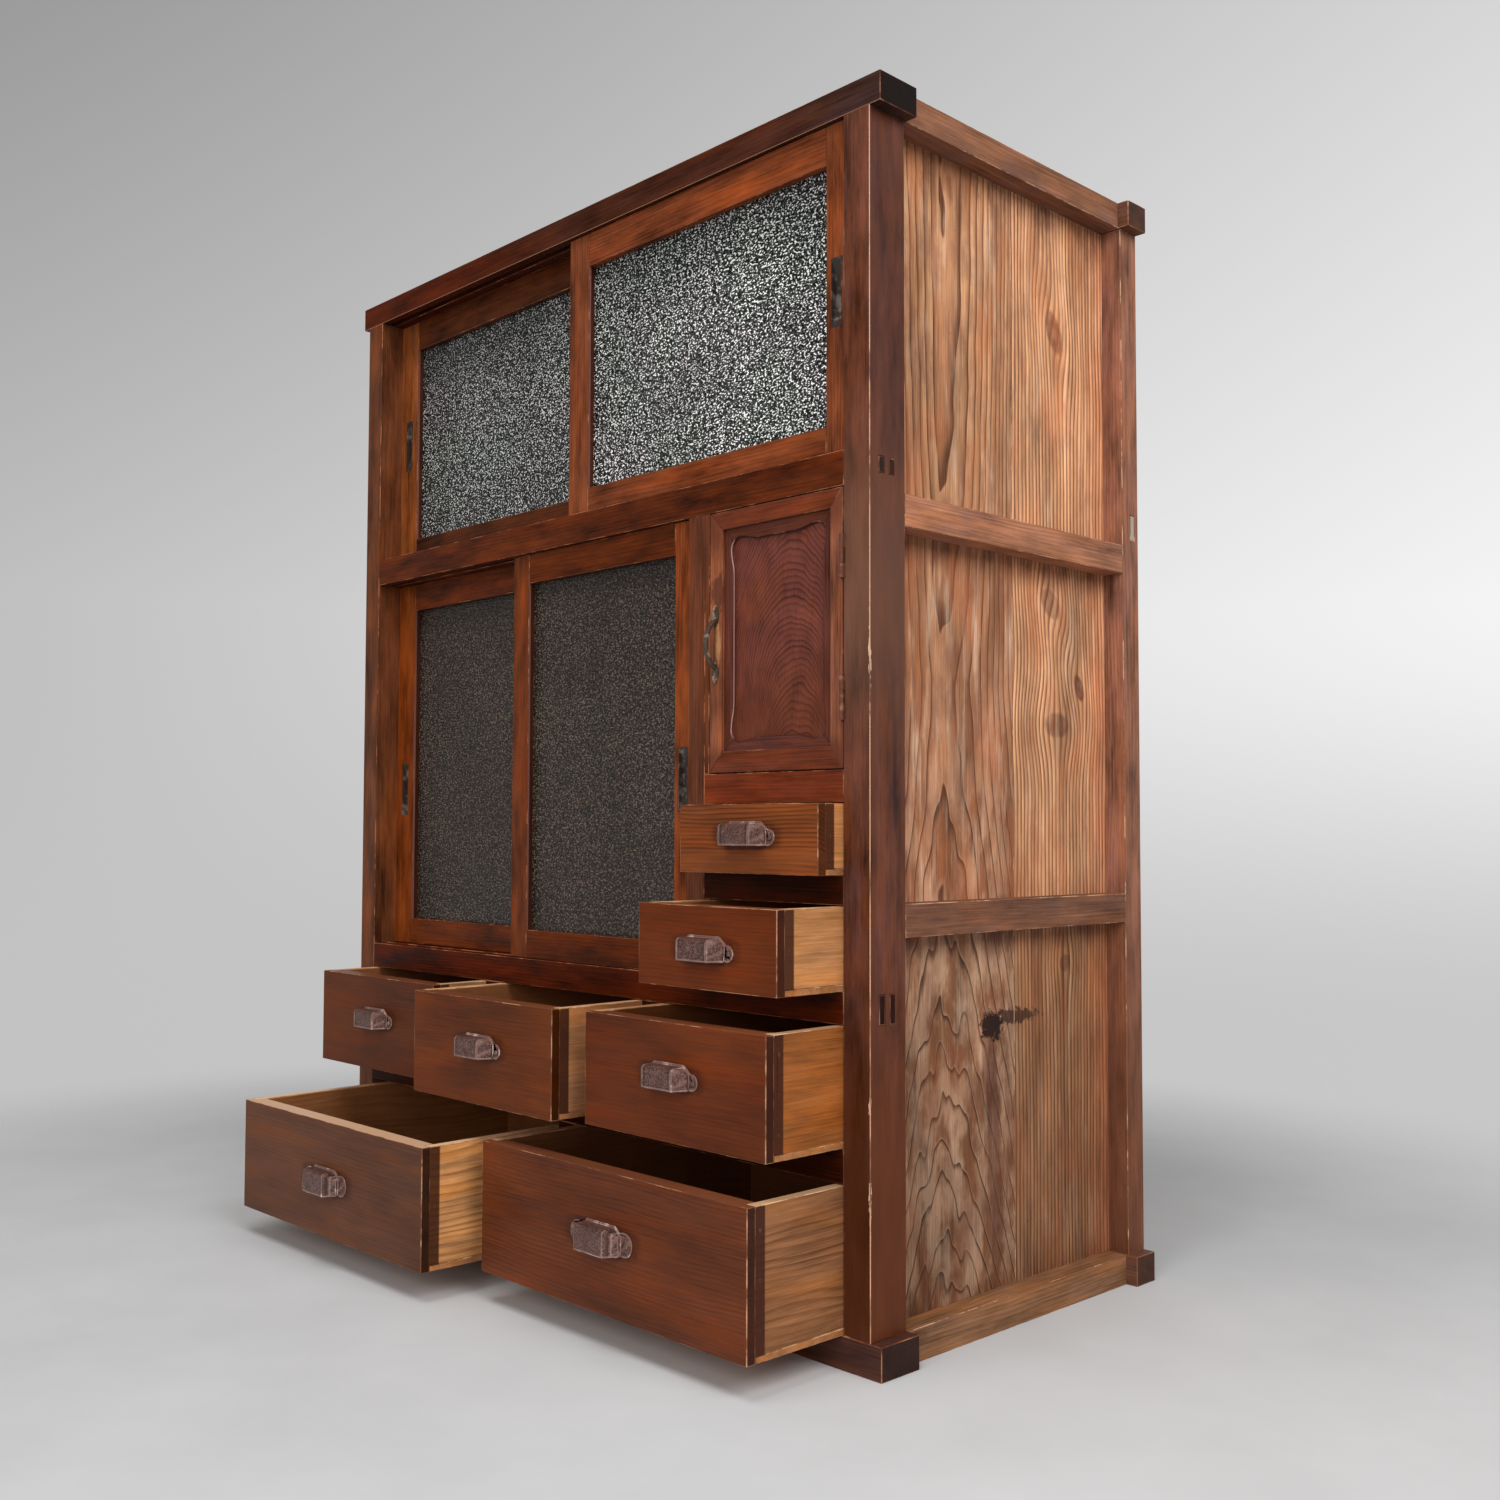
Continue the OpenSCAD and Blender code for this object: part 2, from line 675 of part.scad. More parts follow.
module bottom_board() color("#8a5c3f") from_front() frame_board(bottom_board);

module floor_boards() color("#8f6140") from_front() {
    for (z = [lower_floor, upper_floor])
        block([-board_x, board_x],
            [front_rail_d - board_tongue + fit_gap, rear_post_y - seam], z);
    block([column_x + seam, board_x], [member_d + seam, rear_post_y - seam], cupboard_floor);
}

// Upright board behind the column's post, notched over the ledger of the upper floor
module partition() color("#8f6140") from_front() difference() {
    block([column_x - partition_t, column_x], [front_rail_d, rear_post_y - seam],
        [lower_floor[1], upper_floor[0]]);
    block([column_x - partition_t - over, column_x + over], [ledger_y - seam, rear_post_y],
        [upper_floor[0] - ledger_size - seam, upper_floor[0] + over]);
}

// Runners, guide strips and ledgers that carry the drawers and the floors. The ledgers run
// along the back boards, under the rear ends of the row's runners and of the two long floors.
module drawer_runners() color("#946444") from_front() {
    floor_runners();
    row_runners();
    column_runners();
    for (z = [lower_floor[0], upper_floor[0], row_z - runner_h])
        block([-board_x, board_x], [ledger_y, rear_post_y], [z - ledger_size, z]);
}

module outer_runner(y, z)
    both_sides() block([inner_x - runner_reach, board_x], y, z);

// A runner under two neighbouring drawers, with the guide strip that keeps them apart
module shared_runner(mid_x, y, z) {
    block(around(mid_x, divider_w / 2 + runner_reach), y, z);
    block(around(mid_x, divider_w / 2), y, [z[1], z[1] + guide_h]);
}

module floor_runners() {
    y = [front_rail_d, rear_rail_y];
    z = [bottom_board[1], base_z];
    outer_runner(y, z);
    shared_runner(0, y, z);
}

module row_runners() {
    y = [member_d, rear_post_y];
    z = [row_z - runner_h + seam, row_z];
    outer_runner(y, z);
    both_sides() shared_runner(row_mid_x + divider_w / 2, y, z);
}

module column_runners() {
    levels = [
        [[front_rail_d, ledger_y], [lower_floor[1], lower_z]],
        [[member_d, ledger_y], [high_drawer_z - runner_h, high_drawer_z]],
        [[member_d, ledger_y], [cupboard_floor[0] - runner_h, cupboard_floor[0]]],
    ];
    for (level = levels) {
        block([column_x, column_x + runner_reach], level[0], level[1]);
        block([inner_x - runner_reach, board_x], level[0], level[1]);
    }
}

// Sliding doors

// The whole door before it is cut into its members
module door_blank(d) {
    x = d[1];
    z = d[2];
    y = d[3];
    tongue_y = y + (door_t - track_tongue_t) / 2;
    block(x, [y, y + door_t], grown(z, -slide_gap));
    // The upper tongue leaves room to lift the door out of its lower track
    block(x, [tongue_y, tongue_y + track_tongue_t],
        [z[0] - sill_track + slide_gap, z[1] + head_track - sill_track - slide_gap]);
}

function light_x(d) = [d[1][0] + d[4][0], d[1][1] - d[4][1]];
function light_z(d) = [d[2][0] + d[5][0], d[2][1] - d[5][1]];

// Two stiles and two rails around the glass, each a piece of its own
module door_frame(d) color("#7a3f1f") from_front() {
    x = d[1];
    inside_x = light_x(d);
    inside_z = light_z(d);
    far = head_track + over;
    spans = [
        [[x[0], inside_x[0]], grown(d[2], far)],
        [[inside_x[1], x[1]], grown(d[2], far)],
        [grown(inside_x, -seam), [d[2][0] - far, inside_z[0]]],
        [grown(inside_x, -seam), [inside_z[1], d[2][1] + far]],
    ];
    glass_y = d[3] + glass_set_back;
    for (span = spans) difference() {
        intersection() {
            door_blank(d);
            block(span[0], [d[3] - over, d[3] + door_t + over], span[1]);
        }
        block(grown(inside_x, glass_edge + fit_gap),
            grown([glass_y, glass_y + glass_t], fit_gap),
            grown(inside_z, glass_edge + fit_gap));
        finger_pull_shape(d, fit_gap, 0);
    }
}

module door_glass(d, tint) color(tint) from_front()
    block(grown(light_x(d), glass_edge),
        [d[3] + glass_set_back, d[3] + glass_set_back + glass_t],
        grown(light_z(d), glass_edge));

// Boat-shaped hollow of a finger pull: a slice of a wide cylinder sunk into the stile
module finger_pull_shape(d, gap, wall) {
    half_l = finger_pull_l / 2;
    r = (half_l * half_l + finger_pull_depth * finger_pull_depth) / (2 * finger_pull_depth);
    w = finger_pull_w + 2 * gap - 2 * wall;
    translate([d[6][0] - w / 2, d[3] + finger_pull_depth - r, d[6][1]])
        rotate([0, 90, 0]) cylinder(r = r + gap - wall, h = w, $fn = 180);
}

module door_finger_pull(d) color("#2b2624") from_front() difference() {
    intersection() {
        finger_pull_shape(d, 0, 0);
        block(around(d[6][0], finger_pull_w), [d[3], d[3] + door_t],
            around(d[6][1], finger_pull_l));
    }
    finger_pull_shape(d, 0, finger_pull_wall);
}

// Cupboard door

module cupboard_door_frame() color("#74371f") from_front() difference() {
    union() {
        for (end = [0, 1]) {
            cupboard_stile(end);
            cupboard_rail(end);
        }
    }
    // The groove that holds the edges of the fretted board and the panel
    block(grown(cupboard_light_x, door_panel_edge + fit_gap),
        grown([fret_set_back, fret_set_back + fret_t + door_panel_t], fit_gap),
        grown(cupboard_light_z, door_panel_edge + fit_gap));
    for (z = hinge_starts) {
        block([cupboard_door_x[1] - hinge_leaf_t, cupboard_door_x[1] + over],
            [-over, hinge_leaf_w], [z, z + hinge_l]);
        screws(z) door_screw(pin_gap);
    }
    handle_places() nail_hole();
}

cupboard_light_x = [
    cupboard_door_x[0] + cupboard_left_stile_w, cupboard_door_x[1] - cupboard_right_stile_w];
cupboard_light_z = [
    cupboard_door_z[0] + cupboard_lower_rail_h, cupboard_door_z[1] - cupboard_upper_rail_h];

// One stile with mitred ends: 0 is the left one, 1 the right one
module cupboard_stile(end) {
    outer = cupboard_door_x[end];
    inner = cupboard_light_x[end];
    plate(0, cupboard_door_t) polygon([
        [outer, cupboard_door_z[0]],
        [inner, cupboard_light_z[0]],
        [inner, cupboard_light_z[1]],
        [outer, cupboard_door_z[1]],
    ]);
}

// One rail with mitred ends, a seam short of the stiles: 0 is the lower one, 1 the upper one
module cupboard_rail(end) {
    outer = cupboard_door_z[end];
    inner = cupboard_light_z[end];
    plate(0, cupboard_door_t) polygon([
        [cupboard_door_x[0] + seam, outer],
        [cupboard_light_x[0] + seam, inner],
        [cupboard_light_x[1] - seam, inner],
        [cupboard_door_x[1] - seam, outer],
    ]);
}

// Fretted opening: rounded corners, and a border that swells away from them
fret_half_w = (cupboard_light_x[1] - cupboard_light_x[0]) / 2 - fret_border;
fret_half_h = (cupboard_light_z[1] - cupboard_light_z[0]) / 2 - fret_border;

// Swelling at a distance from the nearer corner
function swell(from) = fret_swell * (1 - cos(180 * min(1, from / fret_swell_run))) / 2;

// Points along one side of length 2 * (a - r), at distance b from the middle
function fret_side(a, b, r, steps) =
    [for (i = [0 : steps]) let (at = (a - r) * (1 - 2 * i / steps))
        [at, b - swell(a - r - abs(at))]];

function fret_corner(a, b, r, steps) =
    [for (i = [1 : steps - 1]) let (turn = 90 * i / steps)
        [a - r + r * cos(turn), b - r + r * sin(turn)]];

function turned(points) = [for (p = points) [-p[1], p[0]]];
function opposite(points) = [for (p = points) -p];

module fret_outline() {
    side_steps = 32;
    corner_steps = 6;
    top = fret_side(fret_half_w, fret_half_h, fret_corner_r, side_steps);
    left = turned(fret_side(fret_half_h, fret_half_w, fret_corner_r, side_steps));
    corner = fret_corner(fret_half_w, fret_half_h, fret_corner_r, corner_steps);
    next_corner = turned(fret_corner(fret_half_h, fret_half_w, fret_corner_r, corner_steps));
    translate([middle(cupboard_light_x), middle(cupboard_light_z)])
        polygon(concat(corner, top, next_corner, left,
            opposite(corner), opposite(top), opposite(next_corner), opposite(left)));
}

module cupboard_door_fret() color("#5b2b1e") from_front() difference() {
    block(grown(cupboard_light_x, door_panel_edge), [fret_set_back, fret_set_back + fret_t],
        grown(cupboard_light_z, door_panel_edge));
    plate(fret_set_back - over, fret_set_back + fret_t + over) fret_outline();
}

module cupboard_door_panel() color("#5a2420") from_front() {
    y = fret_set_back + fret_t;
    block(grown(cupboard_light_x, door_panel_edge), [y, y + door_panel_t],
        grown(cupboard_light_z, door_panel_edge));
}

// Bail handle: an arched grip between two pointed leaves, and a nail through each leaf
module cupboard_door_handle() color("#8a7550") from_front() {
    difference() {
        translate([handle_x, 0, handle_z]) {
            for (end = [-1, 1])
                translate([0, 0, end * (handle_l - handle_leaf_l) / 2])
                    plate(-handle_leaf_t, 0) leaf(handle_leaf_l, handle_leaf_w);
            intersection() {
                translate([0, grip_arc_r - grip_reach, 0]) rotate([0, 90, 0])
                    rotate_extrude($fn = 96)
                        translate([grip_arc_r, 0]) circle(r = grip_r, $fn = 24);
                block([-handle_leaf_w, handle_leaf_w], [-grip_reach - grip_r - over, 0],
                    [-handle_l, handle_l]);
            }
        }
        handle_places() nail_hole();
    }
    handle_places() nail(handle_leaf_t + pin_gap);
}

handle_x = (cupboard_door_x[0] + cupboard_light_x[0]) / 2;
handle_z = cupboard_door_z[0] + handle_up;
grip_arc_r = (grip_l * grip_l / 4 + grip_reach * grip_reach) / (2 * grip_reach);

// The places of the handle's two nails, outside the feet of its grip
module handle_places()
    for (end = [-1, 1])
        translate([handle_x, 0, handle_z + end * (handle_l / 2 - handle_leaf_l / 5)])
            children();

// Pointed oval where two equal circles overlap
module leaf(l, w) {
    r = (l * l / 4 + w * w / 4) / w;
    intersection() {
        translate([r - w / 2, 0]) circle(r = r, $fn = 96);
        translate([w / 2 - r, 0]) circle(r = r, $fn = 96);
    }
}

// Knuckle k of 0, 1 and 2 on the hinge that starts at height z
function knuckle(z, k) =
    let (l = (hinge_l - 2 * knuckle_gap) / 3, start = z + k * (l + knuckle_gap))
    [start, start + l];

module round_bar(r, z) translate([hinge_x, hinge_y, z[0]]) cylinder(r = r, h = z[1] - z[0]);

module hinge_leaf(x, z, knuckles) {
    block(x, [knuckle_gap, hinge_leaf_w], [z, z + hinge_l]);
    for (k = knuckles) {
        block(x, [hinge_y, hinge_leaf_w], knuckle(z, k));
        round_bar(knuckle_r, knuckle(z, k));
    }
}

// The places of a leaf's two screws
module screws(z)
    for (part = [0.2, 0.8])
        translate([0, hinge_leaf_w * 0.6, z + hinge_l * part]) children();

// Countersunk screw along X through a leaf, its flat head in the leaf's face
module screw(gap) rotate([0, 90, 0]) {
    cylinder(r1 = screw_head_r + gap, r2 = screw_r + gap, h = hinge_leaf_t, $fn = 24);
    cylinder(r = screw_r + gap, h = screw_l + gap, $fn = 24);
}

module post_screw(gap) translate([inner_x, 0, 0]) screw(gap);

module door_screw(gap)
    translate([cupboard_door_x[1], 0, 0]) mirror([1, 0, 0]) screw(gap);

// The post's hinge leaves, each with its pin and its screws
module hinge_fixed_leaves() color("#4a4038") from_front() for (z = hinge_starts) {
    difference() {
        hinge_leaf([inner_x, inner_x + hinge_leaf_t], z, [0, 2]);
        screws(z) post_screw(pin_gap);
    }
    round_bar(hinge_pin_r, [z, z + hinge_l]);
    screws(z) post_screw(0);
}

module hinge_moving_leaves() color("#4a4038") from_front() for (z = hinge_starts) {
    difference() {
        hinge_leaf([cupboard_door_x[1] - hinge_leaf_t, cupboard_door_x[1]], z, [1]);
        round_bar(hinge_pin_r + pin_gap, [z - over, z + hinge_l + over]);
        screws(z) door_screw(pin_gap);
    }
    screws(z) door_screw(0);
}

// Drawers

function drawer_x(d) = grown(d[1], -drawer_side_gap);
function drawer_z(d) = [d[2][0] + drawer_run_gap, d[2][1] - drawer_top_gap - d[5]];

// Front board with a rebate for the sides and the bottom
module drawer_front(d) color("#6b3420") from_front() difference() {
    y = -d[3];
    x = drawer_x(d);
    z = drawer_z(d);
    union() {
        block(x, [y, y + drawer_lip_t], z);
        block(grown(x, -drawer_side_t), [y + drawer_lip_t, y + drawer_front_t],
            [z[0] + drawer_bottom_t, z[1]]);
    }
    pegs(d, pin_gap);
    pull_places(d) nail_hole();
}

// Two sides and a back, which stand on the bottom board, and the pegs of the front corners
module drawer_box(d) color("#c08a55") from_front() {
    y = [drawer_lip_t - d[3], drawer_l - d[3]];
    x = drawer_x(d);
    z = drawer_z(d);
    side_z = [z[0] + drawer_bottom_t + seam, z[1]];
    block(x, y, [z[0], z[0] + drawer_bottom_t]);
    difference() {
        for (start = [x[0], x[1] - drawer_side_t])
            block([start, start + drawer_side_t], y, side_z);
        pegs(d, pin_gap);
    }
    block(grown(x, -drawer_side_t - seam), [y[1] - drawer_back_t, y[1]],
        [side_z[0], z[1] - drawer_back_drop]);
    pegs(d, 0);
}

// Pegs through both sides into the ends of the front; with a gap, the holes for them
module pegs(d, gap) {
    x = drawer_x(d);
    z = drawer_z(d);
    start_z = z[0] + drawer_bottom_t;
    y = (drawer_lip_t + drawer_front_t) / 2 - d[3];
    for (i = [0 : peg_count - 1], side = [0, 1])
        translate([x[side], y, start_z + (z[1] - start_z) * (i + 0.5) / peg_count])
            mirror([side, 0, 0]) rotate([0, 90, 0]) translate([0, 0, -gap])
                cylinder(r = peg_r + gap, h = peg_l + 2 * gap, $fn = 24);
}

// Profile of the cup in Y and Z: an upright front that turns over into a flat top
module cup_profile(reach, top, back) {
    steps = 6;
    r = min(reach, top) * 0.25;
    polygon(concat([[back, 0], [-reach, 0]],
        [for (i = [0 : steps]) let (turn = 90 * i / steps)
            [r - reach - r * cos(turn), top - r + r * sin(turn)]],
        [[back, top]]));
}

// A thin slice of the cup at place x along the pull
module cup_slice(x, reach, top, back)
    translate([x, 0, 0]) rotate([90, 0, 90])
        linear_extrude(0.1, center = true) cup_profile(reach, top, back);

// Solid form of the cup with its slanting ends; the inset makes its inside
module cup(half, bevel, top, inset, back)
    hull() for (end = [-1, 1]) {
        cup_slice(end * (half - inset), pull_reach * 0.25, top * 0.75, back);
        cup_slice(end * (half - inset - bevel), pull_reach - inset, top, back);
    }

// Flat back of the pull with its chamfered flange and a rounded ear at each end
module pull_back(w, h, ear, bevel) plate(-pull_wall, 0) {
    half = w / 2 - ear;
    shoulder = half + ear / 4;
    polygon([
        [-half, 0], [half, 0], [shoulder, h * 0.65],
        [half - bevel, h], [bevel - half, h], [-shoulder, h * 0.65],
    ]);
    for (end = [-1, 1])
        translate([end * (w / 2 - ear_r(ear)), ear_r(ear)]) circle(r = ear_r(ear));
}

// Radius of a pull's rounded ear
function ear_r(ear) = ear * 0.72;

// The middle of a drawer's pull, at the height of its lower edge
function pull_x(d) = middle(d[1]);
function pull_z(d) = middle(drawer_z(d)) + d[4][0] - d[4][2] / 2;

// The places of the nails in a pull's ears
module pull_places(d)
    for (end = [-1, 1])
        translate([pull_x(d) + end * (d[4][1] / 2 - d[4][3] * 0.45), -d[3],
            pull_z(d) + ear_r(d[4][3])])
            children();

module drawer_pull(d) color("#6a544c") from_front() {
    w = d[4][1];
    h = d[4][2];
    ear = d[4][3];
    bevel = d[4][4];
    half = w / 2 - ear;
    top = h - pull_flange_h;
    difference() {
        translate([pull_x(d), -d[3], pull_z(d)]) difference() {
            union() {
                pull_back(w, h, ear, bevel);
                cup(half, bevel, top, 0, 0);
            }
            translate([0, 0, -over]) cup(half, bevel, top + over - pull_wall, pull_wall, over);
        }
        pull_places(d) nail_hole();
    }
    pull_places(d) nail(pull_wall + pin_gap);
}

front_top_rail();
front_base_rail();
front_post_left();
front_post_right();
rear_rails();
rear_posts();
side_rails_left();
side_rails_right();
side_boards_left();
side_boards_right();
back_boards();
top_board();
bottom_board();
mid_rail();
sill_rail();
drawer_rails();
column_post();
drawer_dividers();
floor_boards();
partition();
drawer_runners();
hinge_fixed_leaves();
cupboard_door_frame();
cupboard_door_fret();
cupboard_door_panel();
cupboard_door_handle();
hinge_moving_leaves();
for (d = DOORS) {
    door_frame(d);
    door_glass(d, "#7f8482");
    door_finger_pull(d);
}
for (d = DRAWERS) {
    drawer_front(d);
    drawer_box(d);
    drawer_pull(d);
}
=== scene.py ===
import math

import bpy
from mathutils import Matrix, Vector


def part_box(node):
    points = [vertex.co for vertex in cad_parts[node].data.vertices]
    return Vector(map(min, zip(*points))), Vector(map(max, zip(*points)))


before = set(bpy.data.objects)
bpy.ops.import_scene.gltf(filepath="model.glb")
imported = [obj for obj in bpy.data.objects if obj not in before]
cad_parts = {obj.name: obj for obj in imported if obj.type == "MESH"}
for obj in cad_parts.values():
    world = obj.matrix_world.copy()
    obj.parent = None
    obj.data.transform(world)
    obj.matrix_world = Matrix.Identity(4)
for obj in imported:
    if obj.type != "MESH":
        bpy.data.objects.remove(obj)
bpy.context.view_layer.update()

MM = 0.001

# The camera of the photograph, worked out from the cabinet's straight edges.
PHOTO_SIZE = 1500
FOCAL_PIXELS = 1528.5
SENSOR = 36.0
CAMERA_AT = Vector((1.35178, -1.05687, 0.48428))
CAMERA_YAW = 0.801496
CAMERA_PITCH = 0.045077
CAMERA_ROLL = 0.0026347
CAMERA_SHIFT_Y = 0.0075

# Places and thicknesses on the cabinet, in millimetres of the shared frame.
SIDE_SEAM_Y = 221
FRONT_Y = -26
POST_EDGE_X = 442
LIP = 10
FRONT_T = 21
DRAWER_SIDE_T = 11
# Heights that tell the rails apart, from the base rails to the top ones.
BASE_RAIL_Z = 100
COLUMN_RAIL_Z = 500
MIDDLE_Z = 600
TOP_RAIL_Z = 1100


def srgb(red, green, blue, gain=(1.0, 1.0, 1.0)):
    """A colour as the eye reads it (0 to 255) as linear light, each part times its gain."""
    out = []
    for value, times in zip((red, green, blue), gain):
        part = value / 255
        linear = part / 12.92 if part <= 0.04045 else ((part + 0.055) / 1.055) ** 2.4
        out.append(min(1.0, linear * times))
    return (out[0], out[1], out[2], 1.0)


class Field:
    """A number that varies over a surface. Arithmetic on it adds Math nodes."""

    def __init__(self, shader, socket):
        self.shader = shader
        self.socket = socket

    def __add__(self, other):
        return self.shader.math("ADD", self, other)

    __radd__ = __add__

    def __sub__(self, other):
        return self.shader.math("SUBTRACT", self, other)

    def __rsub__(self, other):
        return self.shader.math("SUBTRACT", other, self)

    def __mul__(self, other):
        return self.shader.math("MULTIPLY", self, other)

    __rmul__ = __mul__

    def __truediv__(self, other):
        return self.shader.math("DIVIDE", self, other)

    def __pow__(self, other):
        return self.shader.math("POWER", self, other)

    def __abs__(self):
        return self.shader.math("ABSOLUTE", self)

    def fract(self):
        return self.shader.math("FRACT", self)

    def most(self, other):
        """The larger of the two."""
        return self.shader.math("MAXIMUM", self, other)

    def step(self, start, end, low=0.0, high=1.0):
        """Rises smoothly from low at start to high at end."""
        node = self.shader.new("MapRange", interpolation_type="SMOOTHSTEP")
        for socket, value in zip(node.inputs, (self, start, end, low, high)):
            self.shader.feed(socket, value)
        return Field(self.shader, node.outputs[0])

    def hump(self, centre, half):
        """1 at centre, falling smoothly to 0 half away on either side."""
        return abs(self - centre).step(half, 0.0)


class Shader:
    """The node tree of one material, or of the world."""

    def __init__(self, name, owner=None):
        self.owner = owner or bpy.data.materials.new(name)
        self.owner.use_nodes = True
        self.tree = self.owner.node_tree
        self.tree.nodes.clear()
        self.normal = None

    def new(self, kind, **settings):
        node = self.tree.nodes.new("ShaderNode" + kind)
        for key, value in settings.items():
            setattr(node, key, value)
        return node

    def feed(self, socket, value):
        """Links a socket to a node's output, or sets its own value."""
        if isinstance(value, Field):
            value = value.socket
        if isinstance(value, bpy.types.NodeSocket):
            self.tree.links.new(value, socket)
        else:
            socket.default_value = value

    def math(self, operation, *values):
        node = self.new("Math", operation=operation)
        for socket, value in zip(node.inputs, values):
            self.feed(socket, value)
        return Field(self, node.outputs[0])

    def split(self, socket, gain=1.0):
        """The three parts of a vector, each times gain."""
        node = self.new("SeparateXYZ")
        self.feed(node.inputs[0], socket)
        return [Field(self, out) * gain if gain != 1.0 else Field(self, out) for out in node.outputs]

    def place(self):
        """x, y and z in millimetres, fixed to the piece."""
        return self.split(self.new("TexCoord").outputs["Object"], 1 / MM)

    def facing(self):
        """The surface normal's x, y and z, fixed to the piece."""
        return self.split(self.new("TexCoord").outputs["Normal"])

    def island(self):
        """A random number that is the same all over one solid."""
        return Field(self, self.new("NewGeometry").outputs["Random Per Island"])

    def point(self, x, y, z):
        """Three numbers as one vector or colour."""
        node = self.new("CombineXYZ")
        for socket, value in zip(node.inputs, (x, y, z)):
            self.feed(socket, value)
        return node.outputs[0]

    def noise(self, x, y, z, detail=2.0, rough=0.5):
        """Soft noise from about 0 to 1, with bumps one unit across."""
        node = self.new("TexNoise")
        self.feed(node.inputs["Vector"], self.point(x, y, z))
        node.inputs["Scale"].default_value = 1.0
        node.inputs["Detail"].default_value = detail
        node.inputs["Roughness"].default_value = rough
        return Field(self, node.outputs[0])

    def blend(self, share, first, second, kind="MIX"):
        """first where share is 0, second where it is 1."""
        node = self.new("Mix", data_type="RGBA", blend_type=kind, clamp_factor=True)
        self.feed(node.inputs[0], share)
        self.feed(node.inputs[6], first)
        self.feed(node.inputs[7], second)
        return node.outputs[2]

    def shade(self, colour, level):
        """The colour made lighter or darker by a factor that varies."""
        return self.blend(1.0, colour, self.point(level, level, level), "MULTIPLY")

    def bump(self, height, depth):
        """Relief of the given height, depth millimetres deep."""
        node = self.new("Bump")
        node.inputs["Distance"].default_value = depth * MM
        self.feed(node.inputs["Height"], height)
        if self.normal is not None:
            self.feed(node.inputs["Normal"], self.normal)
        self.normal = node.outputs[0]

    def finish(self, colour, rough, metal=0.0, gloss=0.25, **more):
        """Ends the material with a Principled shader."""
        node = self.new("BsdfPrincipled")
        self.feed(node.inputs["Base Color"], colour)
        self.feed(node.inputs["Roughness"], rough)
        self.feed(node.inputs["Metallic"], metal)
        self.feed(node.inputs["Specular IOR Level"], gloss)
        for key, value in more.items():
            self.feed(node.inputs[key.replace("_", " ")], value)
        if self.normal is not None:
            self.feed(node.inputs["Normal"], self.normal)
        self.tree.links.new(node.outputs[0], self.new("OutputMaterial").inputs["Surface"])
        return self.owner


# How many places the grain can start from, how far the rings lean and how deep the grain is.
SEEDS = 977
RING_SLOPE = 0.5
GRAIN_DEPTH = 0.12
# What each tint does to the red, green and blue of a wood's mean colour.
PALER = (1.25, 1.2, 1.15)
DARKER = (0.5, 0.42, 0.36)
WARMER = (1.6, 1.2, 0.55)
DUSTY = (0.8, 1.0, 1.6)


def plain_grain(axis):
    """Grain that runs along one axis: how far along, across and into the wood a point lies."""
    order = {"x": (0, 2, 1), "y": (1, 2, 0), "z": (2, 0, 1)}[axis]

    def axes(place):
        return [place[k] for k in order]

    return axes


def wood(name, grain, base, pitch=4.0, wander=9.0, rings=0.4, fibre=0.8, mottle=1.0, warm=0.6,
         dust=0.2, patch=1.0, ends=0.45, rough=0.42, gloss=0.12, apart=False, extra=None):
    """Sawn wood with its grain along one axis, or as a function lays it out. base is its mean
    colour as the eye reads it. patch says how close together its darker and paler patches lie.
    apart starts the grain anew on each solid, for boards that lie side by side."""
    s = Shader(name)
    place = s.place()
    axes = grain if callable(grain) else plain_grain(grain)
    along, across, deep = axes(place)
    seed = sum(rank * ord(letter) for rank, letter in enumerate(name)) % SEEDS
    jump = s.island() * SEEDS if apart else seed
    bend = s.noise(along * 0.0035 + jump, across * 0.012, deep * 0.012 + jump) - 0.5
    ring = (across + deep * RING_SLOPE + bend * (2 * wander) + jump * 13) / pitch
    part = ring.fract()
    late = part.step(0.3, 0.88) * part.step(1.0, 0.92)
    strength = s.noise(ring * 0.35, along * 0.002 + jump, 0.0, detail=1.0).step(0.38, 0.62)
    lines = late * (strength * 0.8 + 0.2)
    fine = s.noise(along * 0.016 + jump, across * 0.7, deep * 0.7, detail=3.0, rough=0.6) - 0.5
    wide = patch * 0.045
    stretch = wide * 0.27
    broad = s.noise(along * stretch + jump, across * wide, deep * wide, detail=4.0, rough=0.6) - 0.5
    ember = s.noise(along * 0.006 + jump, across * 0.05, deep * 0.05 + 7, detail=4.0).step(0.44, 0.68)
    cloud = s.noise(along * 0.014 + jump, across * 0.03, deep * 0.03 + 19, detail=4.0).step(0.48, 0.72)
    colour = s.blend(lines * rings, srgb(*base, gain=PALER), srgb(*base, gain=DARKER))
    colour = s.blend(ember * warm, colour, srgb(*base, gain=WARMER))
    colour = s.blend(cloud * dust, colour, srgb(*base, gain=DUSTY))
    colour = s.shade(colour, (fine * (2 * fibre) + broad * (2 * mottle) + 1).most(0.2))
    if not callable(grain):
        end = abs(s.facing()["xyz".index(grain)]).step(0.6, 0.8)
        colour = s.shade(colour, end * (ends - 1) + 1)
    if extra:
        colour = extra(s, *place, colour)
    s.bump(lines * 0.5 + fine, GRAIN_DEPTH)
    return s.finish(colour, rough + broad * 0.3 + fine * 0.3, gloss=gloss)


